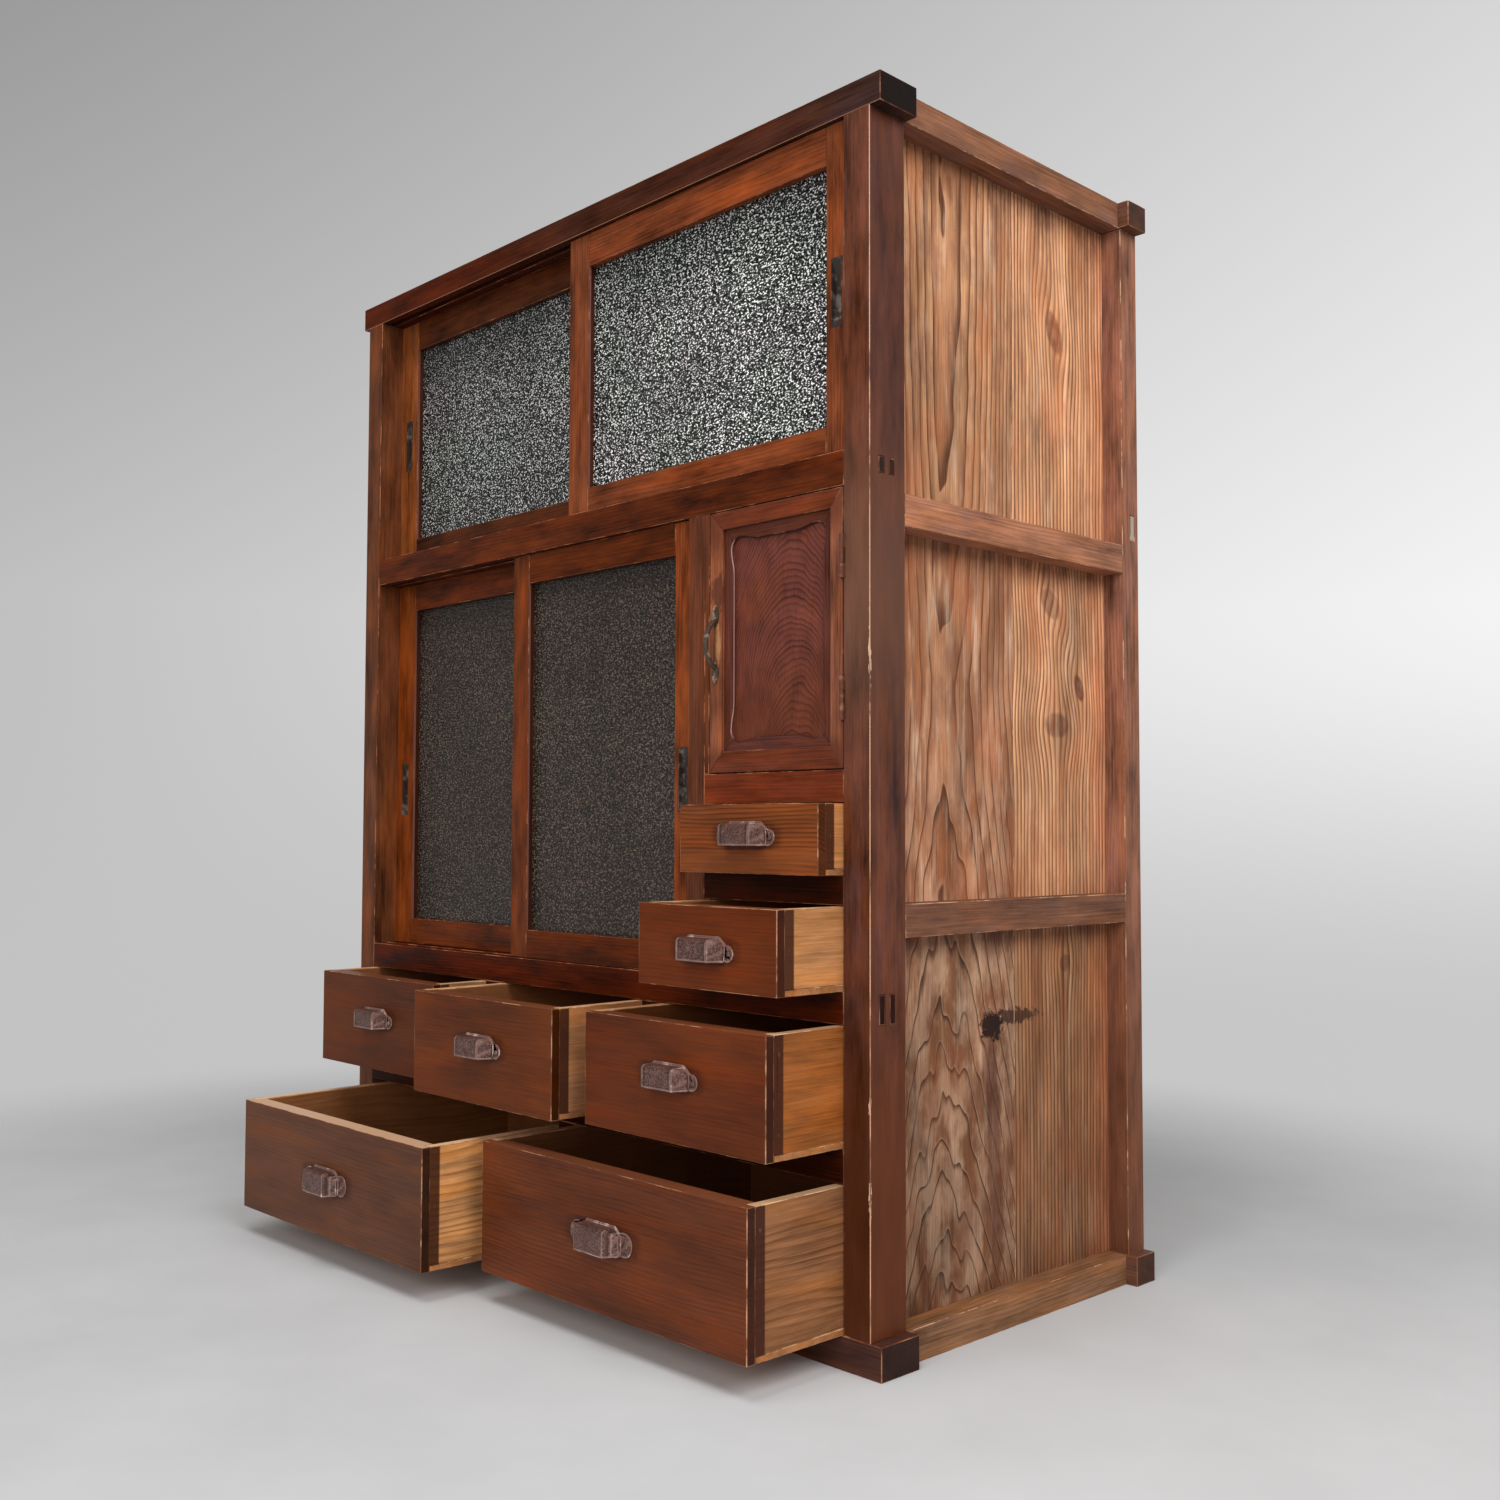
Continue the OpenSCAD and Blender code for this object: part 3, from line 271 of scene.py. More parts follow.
def worn_edge(name, bare, body, share=0.5, where=None, grime=None):
    """The rubbed arris of a piece: bare wood in patches along the edge. where adds pale places,
    rubbed bare on some pieces and painted highlights on others, and grime darkens others."""
    s = Shader(name)
    x, y, z = s.place()
    patch = s.noise(x * 0.03, y * 0.03, z * 0.03, detail=3.0, rough=0.65)
    rubbed = patch.step(0.62 - 0.3 * share, 0.78 - 0.3 * share)
    if where:
        # where brings in pale places: wear on some pieces, painted highlights on others.
        rubbed = rubbed.most(where(s, x, y, z))
    colour = s.blend(rubbed, srgb(*body), srgb(*bare))
    if grime:
        colour = s.blend(grime(s, x, y, z), colour, srgb(62, 36, 26))
    grit = s.noise(x * 0.6, y * 0.6, z * 0.6)
    colour = s.shade(colour, grit * 0.5 + 0.75)
    s.bump(grit, 0.1)
    return s.finish(colour, 0.6)


def solids(mesh):
    """The faces of each separate solid of a mesh, with the solid's lowest and highest corners
    in millimetres."""
    root = {}

    def find(key):
        while root[key] != key:
            root[key] = root[root[key]]
            key = root[key]
        return key

    keys = [tuple(round(c, 6) for c in v.co) for v in mesh.vertices]
    for key in keys:
        root.setdefault(key, key)
    for face in mesh.polygons:
        first = find(keys[face.vertices[0]])
        for index in face.vertices[1:]:
            root[find(keys[index])] = first
    groups = {}
    for face in mesh.polygons:
        groups.setdefault(find(keys[face.vertices[0]]), []).append(face)
    out = []
    for faces in groups.values():
        corners = [mesh.vertices[i].co for face in faces for i in face.vertices]
        low = Vector(min(c[k] for c in corners) for k in range(3))
        high = Vector(max(c[k] for c in corners) for k in range(3))
        out.append((faces, low / MM, high / MM))
    return out


def longest(low, high):
    """The axis along which a solid is longest."""
    size = high - low
    return "xyz"[max(range(3), key=lambda k: size[k])]


def dress(name, choose, edge=None, width=0.7, smooth=False):
    """Gives each solid of a node its material, and its edges a small rounding."""
    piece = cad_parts[name]
    mesh = piece.data
    mesh.materials.clear()
    if edge:
        mesh.materials.append(edge)
    for faces, low, high in solids(mesh):
        material = choose(low, high)
        if mesh.materials.find(material.name) < 0:
            mesh.materials.append(material)
        index = mesh.materials.find(material.name)
        for face in faces:
            face.material_index = index
            face.use_smooth = smooth and face.use_smooth
    if not edge:
        return
    weld = piece.modifiers.new("weld", "WELD")
    weld.merge_threshold = 1e-5
    flat = piece.modifiers.new("flat", "DECIMATE")
    flat.decimate_type = "DISSOLVE"
    flat.angle_limit = math.radians(1)
    flat.delimit = {"MATERIAL"}
    bevel = piece.modifiers.new("edge", "BEVEL")
    bevel.width = width * MM
    bevel.segments = 2
    bevel.limit_method = "ANGLE"
    bevel.angle_limit = math.radians(35)
    bevel.material = 0
    bevel.use_clamp_overlap = False


def by_grain(family):
    """Picks a family's material whose grain runs along the solid's longest side."""
    return lambda low, high: family[longest(low, high)]


def family(name, base, **more):
    """One wood three times, with its grain along each axis."""
    return {axis: wood(name + "_" + axis, axis, base, **more) for axis in "xyz"}


def always(material):
    """Picks the same material for every solid."""
    return lambda low, high: material


# Lacquered timber of the frame.
lacquer_edge = worn_edge("lacquer_arris", (168, 108, 74), (88, 48, 32), share=0.55)


def outer_arris(s, x, y, z):
    """The outer corner, rubbed bare for most of its height."""
    patchy = s.noise(x * 0.1, y * 0.1, z * 0.02, detail=3.0).step(0.36, 0.52, 0.15, 1.0)
    return x.step(POST_EDGE_X - 1, POST_EDGE_X - 0.7) * y.step(FRONT_Y + 1, FRONT_Y + 0.7) * patchy


def mortise_arris(s, x, y, z):
    """The corners of the mortises in the post's side, which are dark."""
    return y.step(FRONT_Y + 4, FRONT_Y + 6) * y.step(FRONT_Y + 28, FRONT_Y + 26)


post_edge = worn_edge("post_arris", (206, 156, 124), (96, 54, 38), share=0.3, where=outer_arris,
                      grime=mortise_arris)
TOP_RAIL_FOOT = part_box("front_top_rail")[0].z / MM


def foot_highlight(s, x, y, z):
    """The lower corner of the top rail, painted pale along its length as a highlight."""
    return z.step(TOP_RAIL_FOOT + 2, TOP_RAIL_FOOT + 1) * y.step(FRONT_Y + 6, FRONT_Y + 4)


# The top rail's arris: worn in patches, with a painted highlight along its lower corner.
top_arris_and_highlight = worn_edge("top_rail_arris_and_highlight", (150, 106, 80), (80, 44, 30), share=0.4, where=foot_highlight)


def top_rail_tone(s, x, y, z, colour):
    """Redder toward the left end, duller and dustier at the right."""
    colour = s.blend(x.step(20, -220), colour, (1.2, 0.76, 0.46, 1.0), "MULTIPLY")
    return s.blend(x.step(290, 430), colour, (0.85, 1.35, 2.2, 1.0), "MULTIPLY")


top_wood = wood("top_rail_wood", "x", (62, 32, 22), ends=0.15, gloss=0.06, extra=top_rail_tone)
base_wood = wood("base_rail_wood", "x", (66, 40, 33), ends=0.4)
mid_wood = wood("mid_rail_wood", "x", (76, 32, 10), mottle=1.6, ends=0.25)
sill_wood = wood("sill_rail_wood", "x", (68, 22, 3), mottle=1.5, ends=0.25, gloss=0.08)
# A darker copy of the rail wood: painted shade for the rails and dividers that lie in the drawers'
# shade.
drawer_rail_wood = family("drawer_rail_wood", (48, 17, 4), gloss=0.05)
column_rail_wood = wood("column_rail_wood", "x", (101, 44, 22))
left_post_wood = wood("left_post_wood", "z", (93, 53, 32), mottle=1.4)


# Heights at which the outer corner of the right post has split off in chips.
WORN_Z = 640
LOW_WORN_Z = (150, 235)


def right_post_tone_and_light(s, x, y, z, colour):
    """Paler at the middle of the front as a painted reflection, redder and darker low down with
    painted shade on the front faces there, dark high up at the side as painted shade, and chipped
    along its outer corner."""
    nx = s.facing()[0]
    low = z.step(460, 140)
    front = nx.step(0.8, 0.4)
    middle = z.hump(710, 190)
    side = nx.step(0.4, 0.8) * z.step(250, 900, 0.0, 0.42)
    # Redder and darker low down, with painted shade that darkens the front faces there more than the
    # side.
    colour = s.blend(low * 0.8, colour, s.shade(srgb(94, 46, 20), 1 - front * 0.42))
    # Painted reflection that pales the middle of the front.
    colour = s.blend(middle * 0.6, colour, srgb(124, 86, 66))
    # Painted shade on the side face, high up.
    colour = s.blend(side, colour, srgb(60, 30, 24))
    ragged = s.noise(x * 0.3, y * 0.3, z * 0.09, detail=4.0, rough=0.7)
    chipped = z.hump(WORN_Z, 90).most(z.hump(LOW_WORN_Z[0], 60)).most(z.hump(LOW_WORN_Z[1], 30) * 0.8)
    reach = (POST_EDGE_X - x).most(y - FRONT_Y) / 2.8
    chip = (ragged * 3 - 2 + chipped - reach).step(0.0, 0.1)
    return s.blend(chip, colour, srgb(226, 194, 162))


right_post_wood = wood("right_post_wood", "z", (86, 50, 38), rings=0.2, fibre=0.6, mottle=1.7, dust=0.5,
                       extra=right_post_tone_and_light)
column_wood = wood("column_post_wood", "z", (87, 48, 31))

dress("front_top_rail", always(top_wood), top_arris_and_highlight)
dress("front_base_rail", always(base_wood), lacquer_edge)
dress("mid_rail", always(mid_wood), lacquer_edge)
dress("sill_rail", always(sill_wood), lacquer_edge)


def drawer_rail(low, high):
    """The highest rail of the column is paler; the lower rails are a darker copy of the wood, as
    painted shade from the drawers over them.
    """
    return column_rail_wood if low.z > COLUMN_RAIL_Z else drawer_rail_wood[longest(low, high)]


dress("drawer_rails", drawer_rail, lacquer_edge)
dress("drawer_dividers", by_grain(drawer_rail_wood), lacquer_edge)
dress("front_post_left", always(left_post_wood), lacquer_edge)
dress("front_post_right", always(right_post_wood), post_edge)
dress("column_post", always(column_wood), lacquer_edge)

# Timber that is only stained: the rear posts and rails and the rails of the sides.
bare_edge = worn_edge("bare_arris", (205, 160, 128), (130, 84, 60), share=0.5)


def rear_post_tone(s, x, y, z, colour):
    """Darker and redder near the floor."""
    return s.blend(z.step(560, 100) * 0.7, colour, srgb(98, 56, 36))


rear_post_wood = wood("rear_post_wood", "z", (131, 90, 73), mottle=1.4, warm=0.35, rough=0.6,
                      extra=rear_post_tone)
rear_rail_wood = wood("rear_rail_wood", "x", (90, 60, 48), ends=0.5, rough=0.6)
side_rail_wood = wood("side_rail_wood", "y", (122, 83, 62), warm=0.3, dust=0.5, rough=0.6)
base_side_wood = wood("base_side_rail_wood", "y", (128, 92, 66), warm=0.35, rough=0.6)
batten_wood = wood("batten_wood", "y", (150, 103, 80), warm=0.35, dust=0.4, rough=0.62)
low_batten_wood = wood("low_batten_wood", "y", (108, 74, 58), warm=0.35, dust=0.4, rough=0.62)


def side_rail(low, high):
    """The wood of one rail or batten of a side, by its height."""
    if low.z < BASE_RAIL_Z:
        return base_side_wood
    if high.z > TOP_RAIL_Z:
        return side_rail_wood
    return batten_wood if low.z > MIDDLE_Z else low_batten_wood


dress("rear_posts", always(rear_post_wood), bare_edge)


def pale_tenon(s, x, y, z, colour):
    """The middle rail's tenon was cut fresh and never stained."""
    return s.blend(abs(s.facing()[0]).step(0.6, 0.8) * z.step(200, 210), colour, srgb(172, 160, 148))


tenon_wood = wood("rear_middle_rail_wood", "x", (120, 78, 58), rough=0.6, extra=pale_tenon)


def rear_rail(low, high):
    """The middle rail differs from the top and base rails."""
    return tenon_wood if BASE_RAIL_Z < low.z < TOP_RAIL_Z else rear_rail_wood


dress("rear_rails", rear_rail, bare_edge)
dress("side_rails_left", side_rail, bare_edge)
dress("side_rails_right", side_rail, bare_edge)

# Unlacquered side boards.
BOARD_BODY = (170, 114, 80)
BOARD_LINE = (104, 64, 42)
# Where the front board's rings close, and how much higher up the grain the left side looks.
HEART_Y = 104
SADDLE_Z = 630
LEFT_SHIFT = 140
# The middle of the dark spill on the right side.
STAIN_Y = 184
STAIN_Z = 290
# Heights just under the top side rail and the two battens, and over the base rail.
UNDER_TOP_Z = 1149
UNDER_BATTEN_Z = 761
UNDER_LOW_BATTEN_Z = 381
OVER_BASE_Z = 31
# Knots of the rear board: y, z, half width, half height, lean, darkness.
KNOTS = (
    (298, 1017, 15, 24, 0.3, 0.85),
    (289, 724, 17, 17, 0.4, 0.65),
    (341, 638, 9, 15, 0.3, 1.0),
    (299, 596, 24, 14, 0.0, 0.7),
    (311, 345, 10, 10, 0.0, 0.6),
)


def board_colour(s, ring, start, shading, strength, light, line):
    """Early wood that differs from ring to ring, and a dark line where each ring ends. start is
    how far through a ring the line begins, from 0 to 1."""
    part = ring.fract()
    tone = s.noise((ring - part) * 7.3, 0.0, 3.3, detail=0.0).step(0.3, 0.7)
    early = s.blend(tone * 0.5, srgb(*light), srgb(*BOARD_BODY))
    early = s.blend(part.step(0.25, 0.97) * shading, early, srgb(*BOARD_BODY))
    late = part.step(start, 0.975) * part.step(1.0, 0.985)
    return s.blend(late * strength, early, srgb(*line)), late


def board_place(s):
    """x, y, z and how high to look up the grain, so that the two sides don't match."""
    x, y, z = s.place()
    return x, y, z, z + x.step(1, -1) * LEFT_SHIFT


def board_stain(s, x, y, z, colour):
    """A dark spill across both boards of the right side and the run below it."""
    warp = s.noise(y * 0.11, z * 0.11, 9.0, detail=5.0, rough=0.7) - 0.5
    core = (((y - STAIN_Y) / 19) ** 2 + ((z - STAIN_Z) / 15) ** 2 + warp * 4.5).step(1.3, 0.6)
    arm = (((y - STAIN_Y - 35) / 40) ** 2 + ((z - STAIN_Z - 7) / 8) ** 2 + warp * 7).step(1.3, 0.5)
    drift = s.noise(z * 0.012, 0.0, 5.0, detail=3.0) - 0.5
    run = abs(y - STAIN_Y + 6 - drift * 26 - (STAIN_Z - z) * 0.07 - warp * 8).step(14, 7)
    run = run * z.step(10, 130, 0.35, 1.0) * z.step(STAIN_Z + 10, STAIN_Z - 20)
    run = run * (drift + warp * 0.6 + 0.9)
    right = x.step(-1, 1)
    colour = s.blend(run * right * 0.72, colour, srgb(86, 46, 34))
    colour = s.blend(arm * right * 0.85, colour, srgb(56, 30, 24))
    return s.blend(core * right, colour, srgb(38, 21, 17))


def board_finish(s, x, y, z, colour, late, weather):
    """Weathering that both boards share, darkening toward the floor and in bands under the rails
    and battens, and their gloss and relief. weather says how strong the pale and grey streaks are."""
    fine = s.noise(y * 1.1, z * 0.014, x, detail=3.0, rough=0.65) - 0.5
    broad = s.noise(y * 0.02, z * 0.006, x, detail=4.0, rough=0.6) - 0.5
    pale = s.noise(y * 0.09, z * 0.008, x + 40, detail=3.0, rough=0.6).step(0.5, 0.72)
    grey = s.noise(y * 0.03, z * 0.014, x + 80, detail=4.0, rough=0.6).step(0.46, 0.68)
    red = s.noise(y * 0.025, z * 0.01, x + 120, detail=4.0).step(0.46, 0.66)
    fleck = s.noise(y * 0.22, z * 0.14, x + 160, detail=2.0, rough=0.6).step(0.7, 0.78)
    low = z.step(430, 330)
    colour = s.blend(pale * (0.45 * weather), colour, srgb(236, 200, 170))
    colour = s.blend(grey * (0.45 * weather), colour, srgb(130, 84, 64))
    colour = s.blend(red * 0.35, colour, srgb(184, 102, 58))
    colour = s.blend(fleck * 0.6, colour, srgb(92, 54, 40))
    # Darker toward the floor.
    colour = s.blend(low, colour, s.shade(colour, z.step(60, 420, 0.46, 0.62)))
    # Darker bands under the top side rail and the battens, and over the base rail.
    under = z.hump(UNDER_TOP_Z, 60).most(z.hump(UNDER_BATTEN_Z, 30))
    under = under.most(z.hump(UNDER_LOW_BATTEN_Z, 26)).most(z.hump(OVER_BASE_Z, 25) * 0.5)
    colour = s.blend(under * (grey * 0.5 + 0.25), colour, srgb(98, 56, 40))
    behind = y.step(330, 391)
    colour = s.blend(behind * 0.3, colour, srgb(170, 94, 66))
    colour = board_stain(s, x, y, z, colour)
    colour = s.shade(colour, (fine * 1.8 + broad * 1.8 + 1).most(0.2))
    s.bump(fine - late * 0.6, 0.35)
    return s.finish(colour, 0.62 + broad * 0.3, gloss=0.15)


def front_board():
    """A flat-sawn board: its rings close in a V above the middle and in arches below."""
    s = Shader("side_board_cathedral")
    x, y, real_z, z = board_place(s)
    top = z.step(250, 900)
    t = y - HEART_Y
    left = ((t * -1).most(0) / (33 - top * 19.5)) ** (1.75 - top * 0.65)
    right = (t.most(0) / (43 - top * 7)) ** (top * 0.25 + 1.75)
    above = (1 - s.math("EXPONENT", (z - SADDLE_Z).most(0) / -240)) * 2.9
    below = ((SADDLE_Z - z).most(0) / 176) ** 1.83
    wave = s.noise(y * 0.04, z * 0.012, 1.3, detail=1.0) - 0.5
    ripple = s.noise(y * 0.055, z * 0.012, 5.1, detail=1.0) - 0.5
    middle = abs(t).step(75, 15) * z.step(620, 300)
    ring = left + right - above - below + wave * (middle * 1.3 + 0.8) + ripple * middle * 1.1 + 20.5
    light = (226, 168, 124)
    strength = z.step(720, 900, 0.62, 1.0)
    colour, late = board_colour(s, ring, 0.78 - top * 0.06, 0.85, strength, light, BOARD_LINE)
    worn = s.noise(y * 0.03, z * 0.012, 11.0, detail=4.0, rough=0.6).step(0.42, 0.6)
    flat = s.blend(worn * 0.9, srgb(220, 172, 138), srgb(150, 96, 62))
    flat = s.blend(ring.fract().step(0.0, 0.1, 0.5, 0.0), flat, srgb(226, 182, 150))
    flat = s.blend(late * 0.92, flat, srgb(80, 47, 32))
    colour = s.blend(top, flat, colour)
    level = real_z.step(330, 520, 1.1, 0.71) * real_z.step(700, 1000, 1.0, 1.22)
    between = real_z.step(UNDER_LOW_BATTEN_Z - 11, UNDER_LOW_BATTEN_Z + 9)
    between = between * real_z.step(UNDER_BATTEN_Z + 9, UNDER_BATTEN_Z - 11)
    colour = s.blend(between, s.shade(colour, level), (0.94, 0.85, 0.83, 1.0), "MULTIPLY")
    return board_finish(s, x, y, real_z, colour, late, 1.0)


def rear_board():
    """A board of straight grain with knots that the lines bend round."""
    s = Shader("side_board_straight")
    x, y, real_z, z = board_place(s)
    line = y + (s.noise(z * 0.004, y * 0.012, 2.0, detail=2.0) - 0.5) * 12
    core = None
    for knot_y, knot_z, half_y, half_z, lean, dark in KNOTS:
        away_z = z - knot_z
        away_y = y - knot_y + away_z * lean
        reach = (away_y * away_y / (half_y * half_y * 4) + away_z * away_z / (half_z * half_z * 9)) * -1
        pull = s.math("EXPONENT", reach)
        line = line - away_y * pull * 0.55
        inside = away_y * away_y / (half_y * half_y) + away_z * away_z / (half_z * half_z)
        spot = inside.step(1.2, 0.5) * dark
        core = spot if core is None else core.most(spot)
    ring = line / 6.2
    strength = s.noise(ring * 0.3, z * 0.0015, 3.0, detail=1.0).step(0.35, 0.65, 0.45, 1.0)
    colour, late = board_colour(s, ring, 0.45, 0.75, strength, (250, 188, 140), (120, 68, 43))
    rough_spot = s.noise(y * 0.12, z * 0.1, 4.0, detail=3.0)
    colour = s.blend(core * (rough_spot + 0.3), colour, srgb(104, 60, 50))
    level = real_z.step(420, 560, 0.84, 0.93) * real_z.step(700, 950, 1.0, 1.1)
    lowest = real_z.step(UNDER_LOW_BATTEN_Z + 9, UNDER_LOW_BATTEN_Z - 11)
    colour = s.blend(lowest, s.shade(colour, level), (0.97, 0.9, 0.82, 1.0), "MULTIPLY")
    return board_finish(s, x, y, real_z, colour, late, 0.7)


board_edge = worn_edge("board_arris", (214, 172, 140), (150, 100, 72))
cathedral = front_board()
straight = rear_board()


def side_board(low, high):
    """The front board shows arches and the rear one straight grain."""
    return cathedral if high.y <= SIDE_SEAM_Y + 1 else straight


for side in ("left", "right"):
    dress("side_boards_" + side, side_board, board_edge, width=0.4)

# Boards that only show from behind, from above or inside.
hidden_edge = worn_edge("hidden_arris", (150, 108, 80), (104, 68, 48))
back_wood = family("back_board_wood", (142, 102, 76), pitch=6.0, mottle=0.6, warm=0.25, patch=0.4,
                   rough=0.65, apart=True)
inner_wood = family("inner_wood", (80, 50, 35), mottle=0.7, warm=0.3, patch=0.5, rough=0.65, apart=True)
for name in ("back_boards", "top_board", "bottom_board"):
    dress(name, by_grain(back_wood), hidden_edge, width=0.4)
for name in ("floor_boards", "partition", "drawer_runners"):
    dress(name, by_grain(inner_wood), hidden_edge, width=0.4)

# Sliding doors.
# Each door's colour on its stiles and on its rails.
DOORS = {
    "upper_left": ((117, 64, 31), (70, 34, 14)),
    "upper_right": ((110, 58, 33), (108, 54, 28)),
    "lower_left": ((107, 51, 18), (86, 38, 12)),
    "lower_right": ((100, 48, 20), (78, 32, 5)),
}
door_edge = worn_edge("door_arris", (170, 112, 78), (100, 54, 34), share=0.35)
for door, (stile_base, rail_base) in DOORS.items():
    face_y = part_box(door + "_door_frame")[0].y / MM

    def stile_light_and_tone(s, x, y, z, colour):
        """The inner face of a stile has a painted highlight along its front and painted shade by the
        glass.
        The stile beside the column is paler than its door's other one."""
        inner = s.facing()[0].step(0.5, 0.9)
        if door == "lower_right":
            colour = s.shade(colour, x.step(100, 150, 0.93, 1.38))
        # Painted shade on the stile's inner face, then a painted highlight along its front.
        colour = s.blend(inner * 0.8, colour, srgb(44, 22, 18))
        return s.blend(inner * y.step(face_y + 3.2, face_y + 2.2) * 0.8, colour, srgb(134, 92, 86))

    timber = {
        "z": wood(door + "_stile_wood", "z", stile_base, mottle=1.5, extra=stile_light_and_tone),
        "x": wood(door + "_rail_wood", "x", rail_base, mottle=1.5),
    }
    dress(door + "_door_frame", by_grain(timber), door_edge)


GLASS_CELL = 2.1


def figured_glass(name, dark, middle, glint, rough, top_z, toward_right=0.0, sharp=0.1, fade=45):
    """Pressed glass: a fine raised pattern whose faces show painted glints as bright specks, a
    painted reflection that grows toward_right, and painted shade under the rail above it. fade
    says how far down that painted shade reaches."""
    s = Shader(name)
    x, y, z = s.place()
    cell_y = y / GLASS_CELL
    grain = s.noise(x / (GLASS_CELL * 1.5), cell_y, z / GLASS_CELL, detail=0.0)
    second = s.noise(x / (GLASS_CELL * 1.1) + 40, cell_y, z / (GLASS_CELL * 0.8), detail=0.0)
    large = s.noise(x * 0.01, y * 0.01, z * 0.01, detail=2.0) - 0.5
    tint = s.noise(x * 0.011 + 9, y * 0.01, z * 0.009, detail=1.0).step(0.4, 0.6)
    colour = s.blend(grain.step(0.5 - sharp, 0.5), srgb(*dark), srgb(*middle))
    # Painted glints: bright specks on the pattern's faces.
    colour = s.blend(second.step(0.52, 0.52 + sharp) * grain.step(0.36, 0.6), colour, srgb(*glint))
    tint = s.blend(tint, (1.03, 0.975, 1.01, 1), (0.975, 1.01, 0.985, 1))
    colour = s.blend(1.0, colour, tint, "MULTIPLY")
    # Painted reflection, brighter toward the right, and painted shade under the rail above.
    across = x.step(-380, 380, 1 - toward_right, 1 + toward_right)
    under = z.step(top_z - fade, top_z - 5, 1.0, 0.55)
    colour = s.shade(colour, (large * 0.8 + 1) * across * under)
    s.bump(grain, GLASS_CELL * 0.3)
    return s.finish(colour, rough, gloss=0.4, Transmission_Weight=0.15, IOR=1.5)


def glass_top(door):
    """The height of the upper edge of a door's glass."""
    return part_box(door + "_door_glass")[1].z / MM


upper_glass = figured_glass("pressed_glass_upper", (4, 4, 4), (56, 58, 56), (255, 255, 250), 0.3,
                            glass_top("upper_left"), toward_right=0.3, fade=110)
lower_glass = figured_glass("pressed_glass_lower", (25, 20, 17), (53, 43, 36), (118, 103, 90), 0.4,
                            glass_top("lower_left"), sharp=0.12)
glass_edge = Shader("glass_rim").finish(srgb(70, 76, 72), 0.3)
for door in DOORS:
    pane = upper_glass if "upper" in door else lower_glass
    dress(door + "_door_glass", always(pane), glass_edge, width=0.3)

# Small cupboard door.
cupboard_edge = worn_edge("cupboard_arris", (158, 104, 76), (100, 54, 38), share=0.35)


def fret_arris_painted_light(s, x, y, z):
    """The left side of the opening, where the whole corner is painted pale as a highlight."""
    return x.step(262, 258) * z.step(570, 585) * z.step(780, 765)


# The fret's arris: painted shade all round the opening, and a painted highlight down its left side.
fret_lit_and_shaded_edge = worn_edge("fret_arris_painted_light", (176, 132, 124), (58, 30, 28), share=0.1, where=fret_arris_painted_light)
handle_low, handle_high = [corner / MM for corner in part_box("cupboard_door_handle")]
fret_low, fret_high = [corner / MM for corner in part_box("cupboard_door_fret")]
door_low, door_high = [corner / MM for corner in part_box("cupboard_door_frame")]


def handle_wear(s, x, y, z, colour):
    """The stile behind the handle: rubbed pale at its middle, dark with grime above it. Both
    stiles are as red as the rails at their ends."""
    middle = (handle_low.z + handle_high.z) / 2
    warp = s.noise(x * 0.1, y, z * 0.06, detail=3.0) - 0.5
    near = abs(x - (handle_low.x + handle_high.x) / 2 - 3)
    rubbed = ((near / 4.5) ** 2 + ((z - middle) / 20) ** 2 + warp * 4).step(1.2, 0.3)
    grime = ((near / 13) ** 2 + ((z - handle_high.z - 12) / 22) ** 2 + warp * 4).step(1.3, 0.4)
    colour = s.blend(grime * 0.65, colour, srgb(50, 26, 26))
    colour = s.blend(rubbed * 0.8, colour, srgb(190, 140, 94))
    ends = z.step(door_high.z - 50, door_high.z - 22).most(z.step(door_low.z + 36, door_low.z + 14))
    return s.blend(ends * 0.7, colour, s.shade(srgb(98, 49, 32), warp * 0.5 + 1))


def mitred_level(x, z):
    """1 in the level strips of the fret and 0 in its upright ones, parted by the mitres."""
    middle = (fret_low + fret_high) / 2
    half = (fret_high - fret_low) / 2
    return abs(z - middle.z) - half.z - abs(x - middle.x) + half.x


def mitred_grain(place):
    """How far along, across and into the wood a point of the fret lies."""
    x, y, z = place
    level = mitred_level(x, z).step(-0.3, 0.3)
    return z + (x - z) * level, x + (z - x) * level, y


def mitre_lines(s, x, y, z, colour):
    """Thin dark lines where the strips of the fret meet."""
    return s.blend(mitred_level(x, z).hump(0, 1.2) * 0.6, colour, srgb(38, 20, 18))


cupboard_wood = {
    "z": wood("cupboard_stile_wood", "z", (126, 76, 56), mottle=1.4, extra=handle_wear),
    "x": wood("cupboard_rail_wood", "x", (92, 45, 29)),
}
fret_wood = wood("fret_wood", mitred_grain, (84, 46, 38), extra=mitre_lines)

# The middle of the arches of the small door's panel.
PANEL_HEART_X = 342


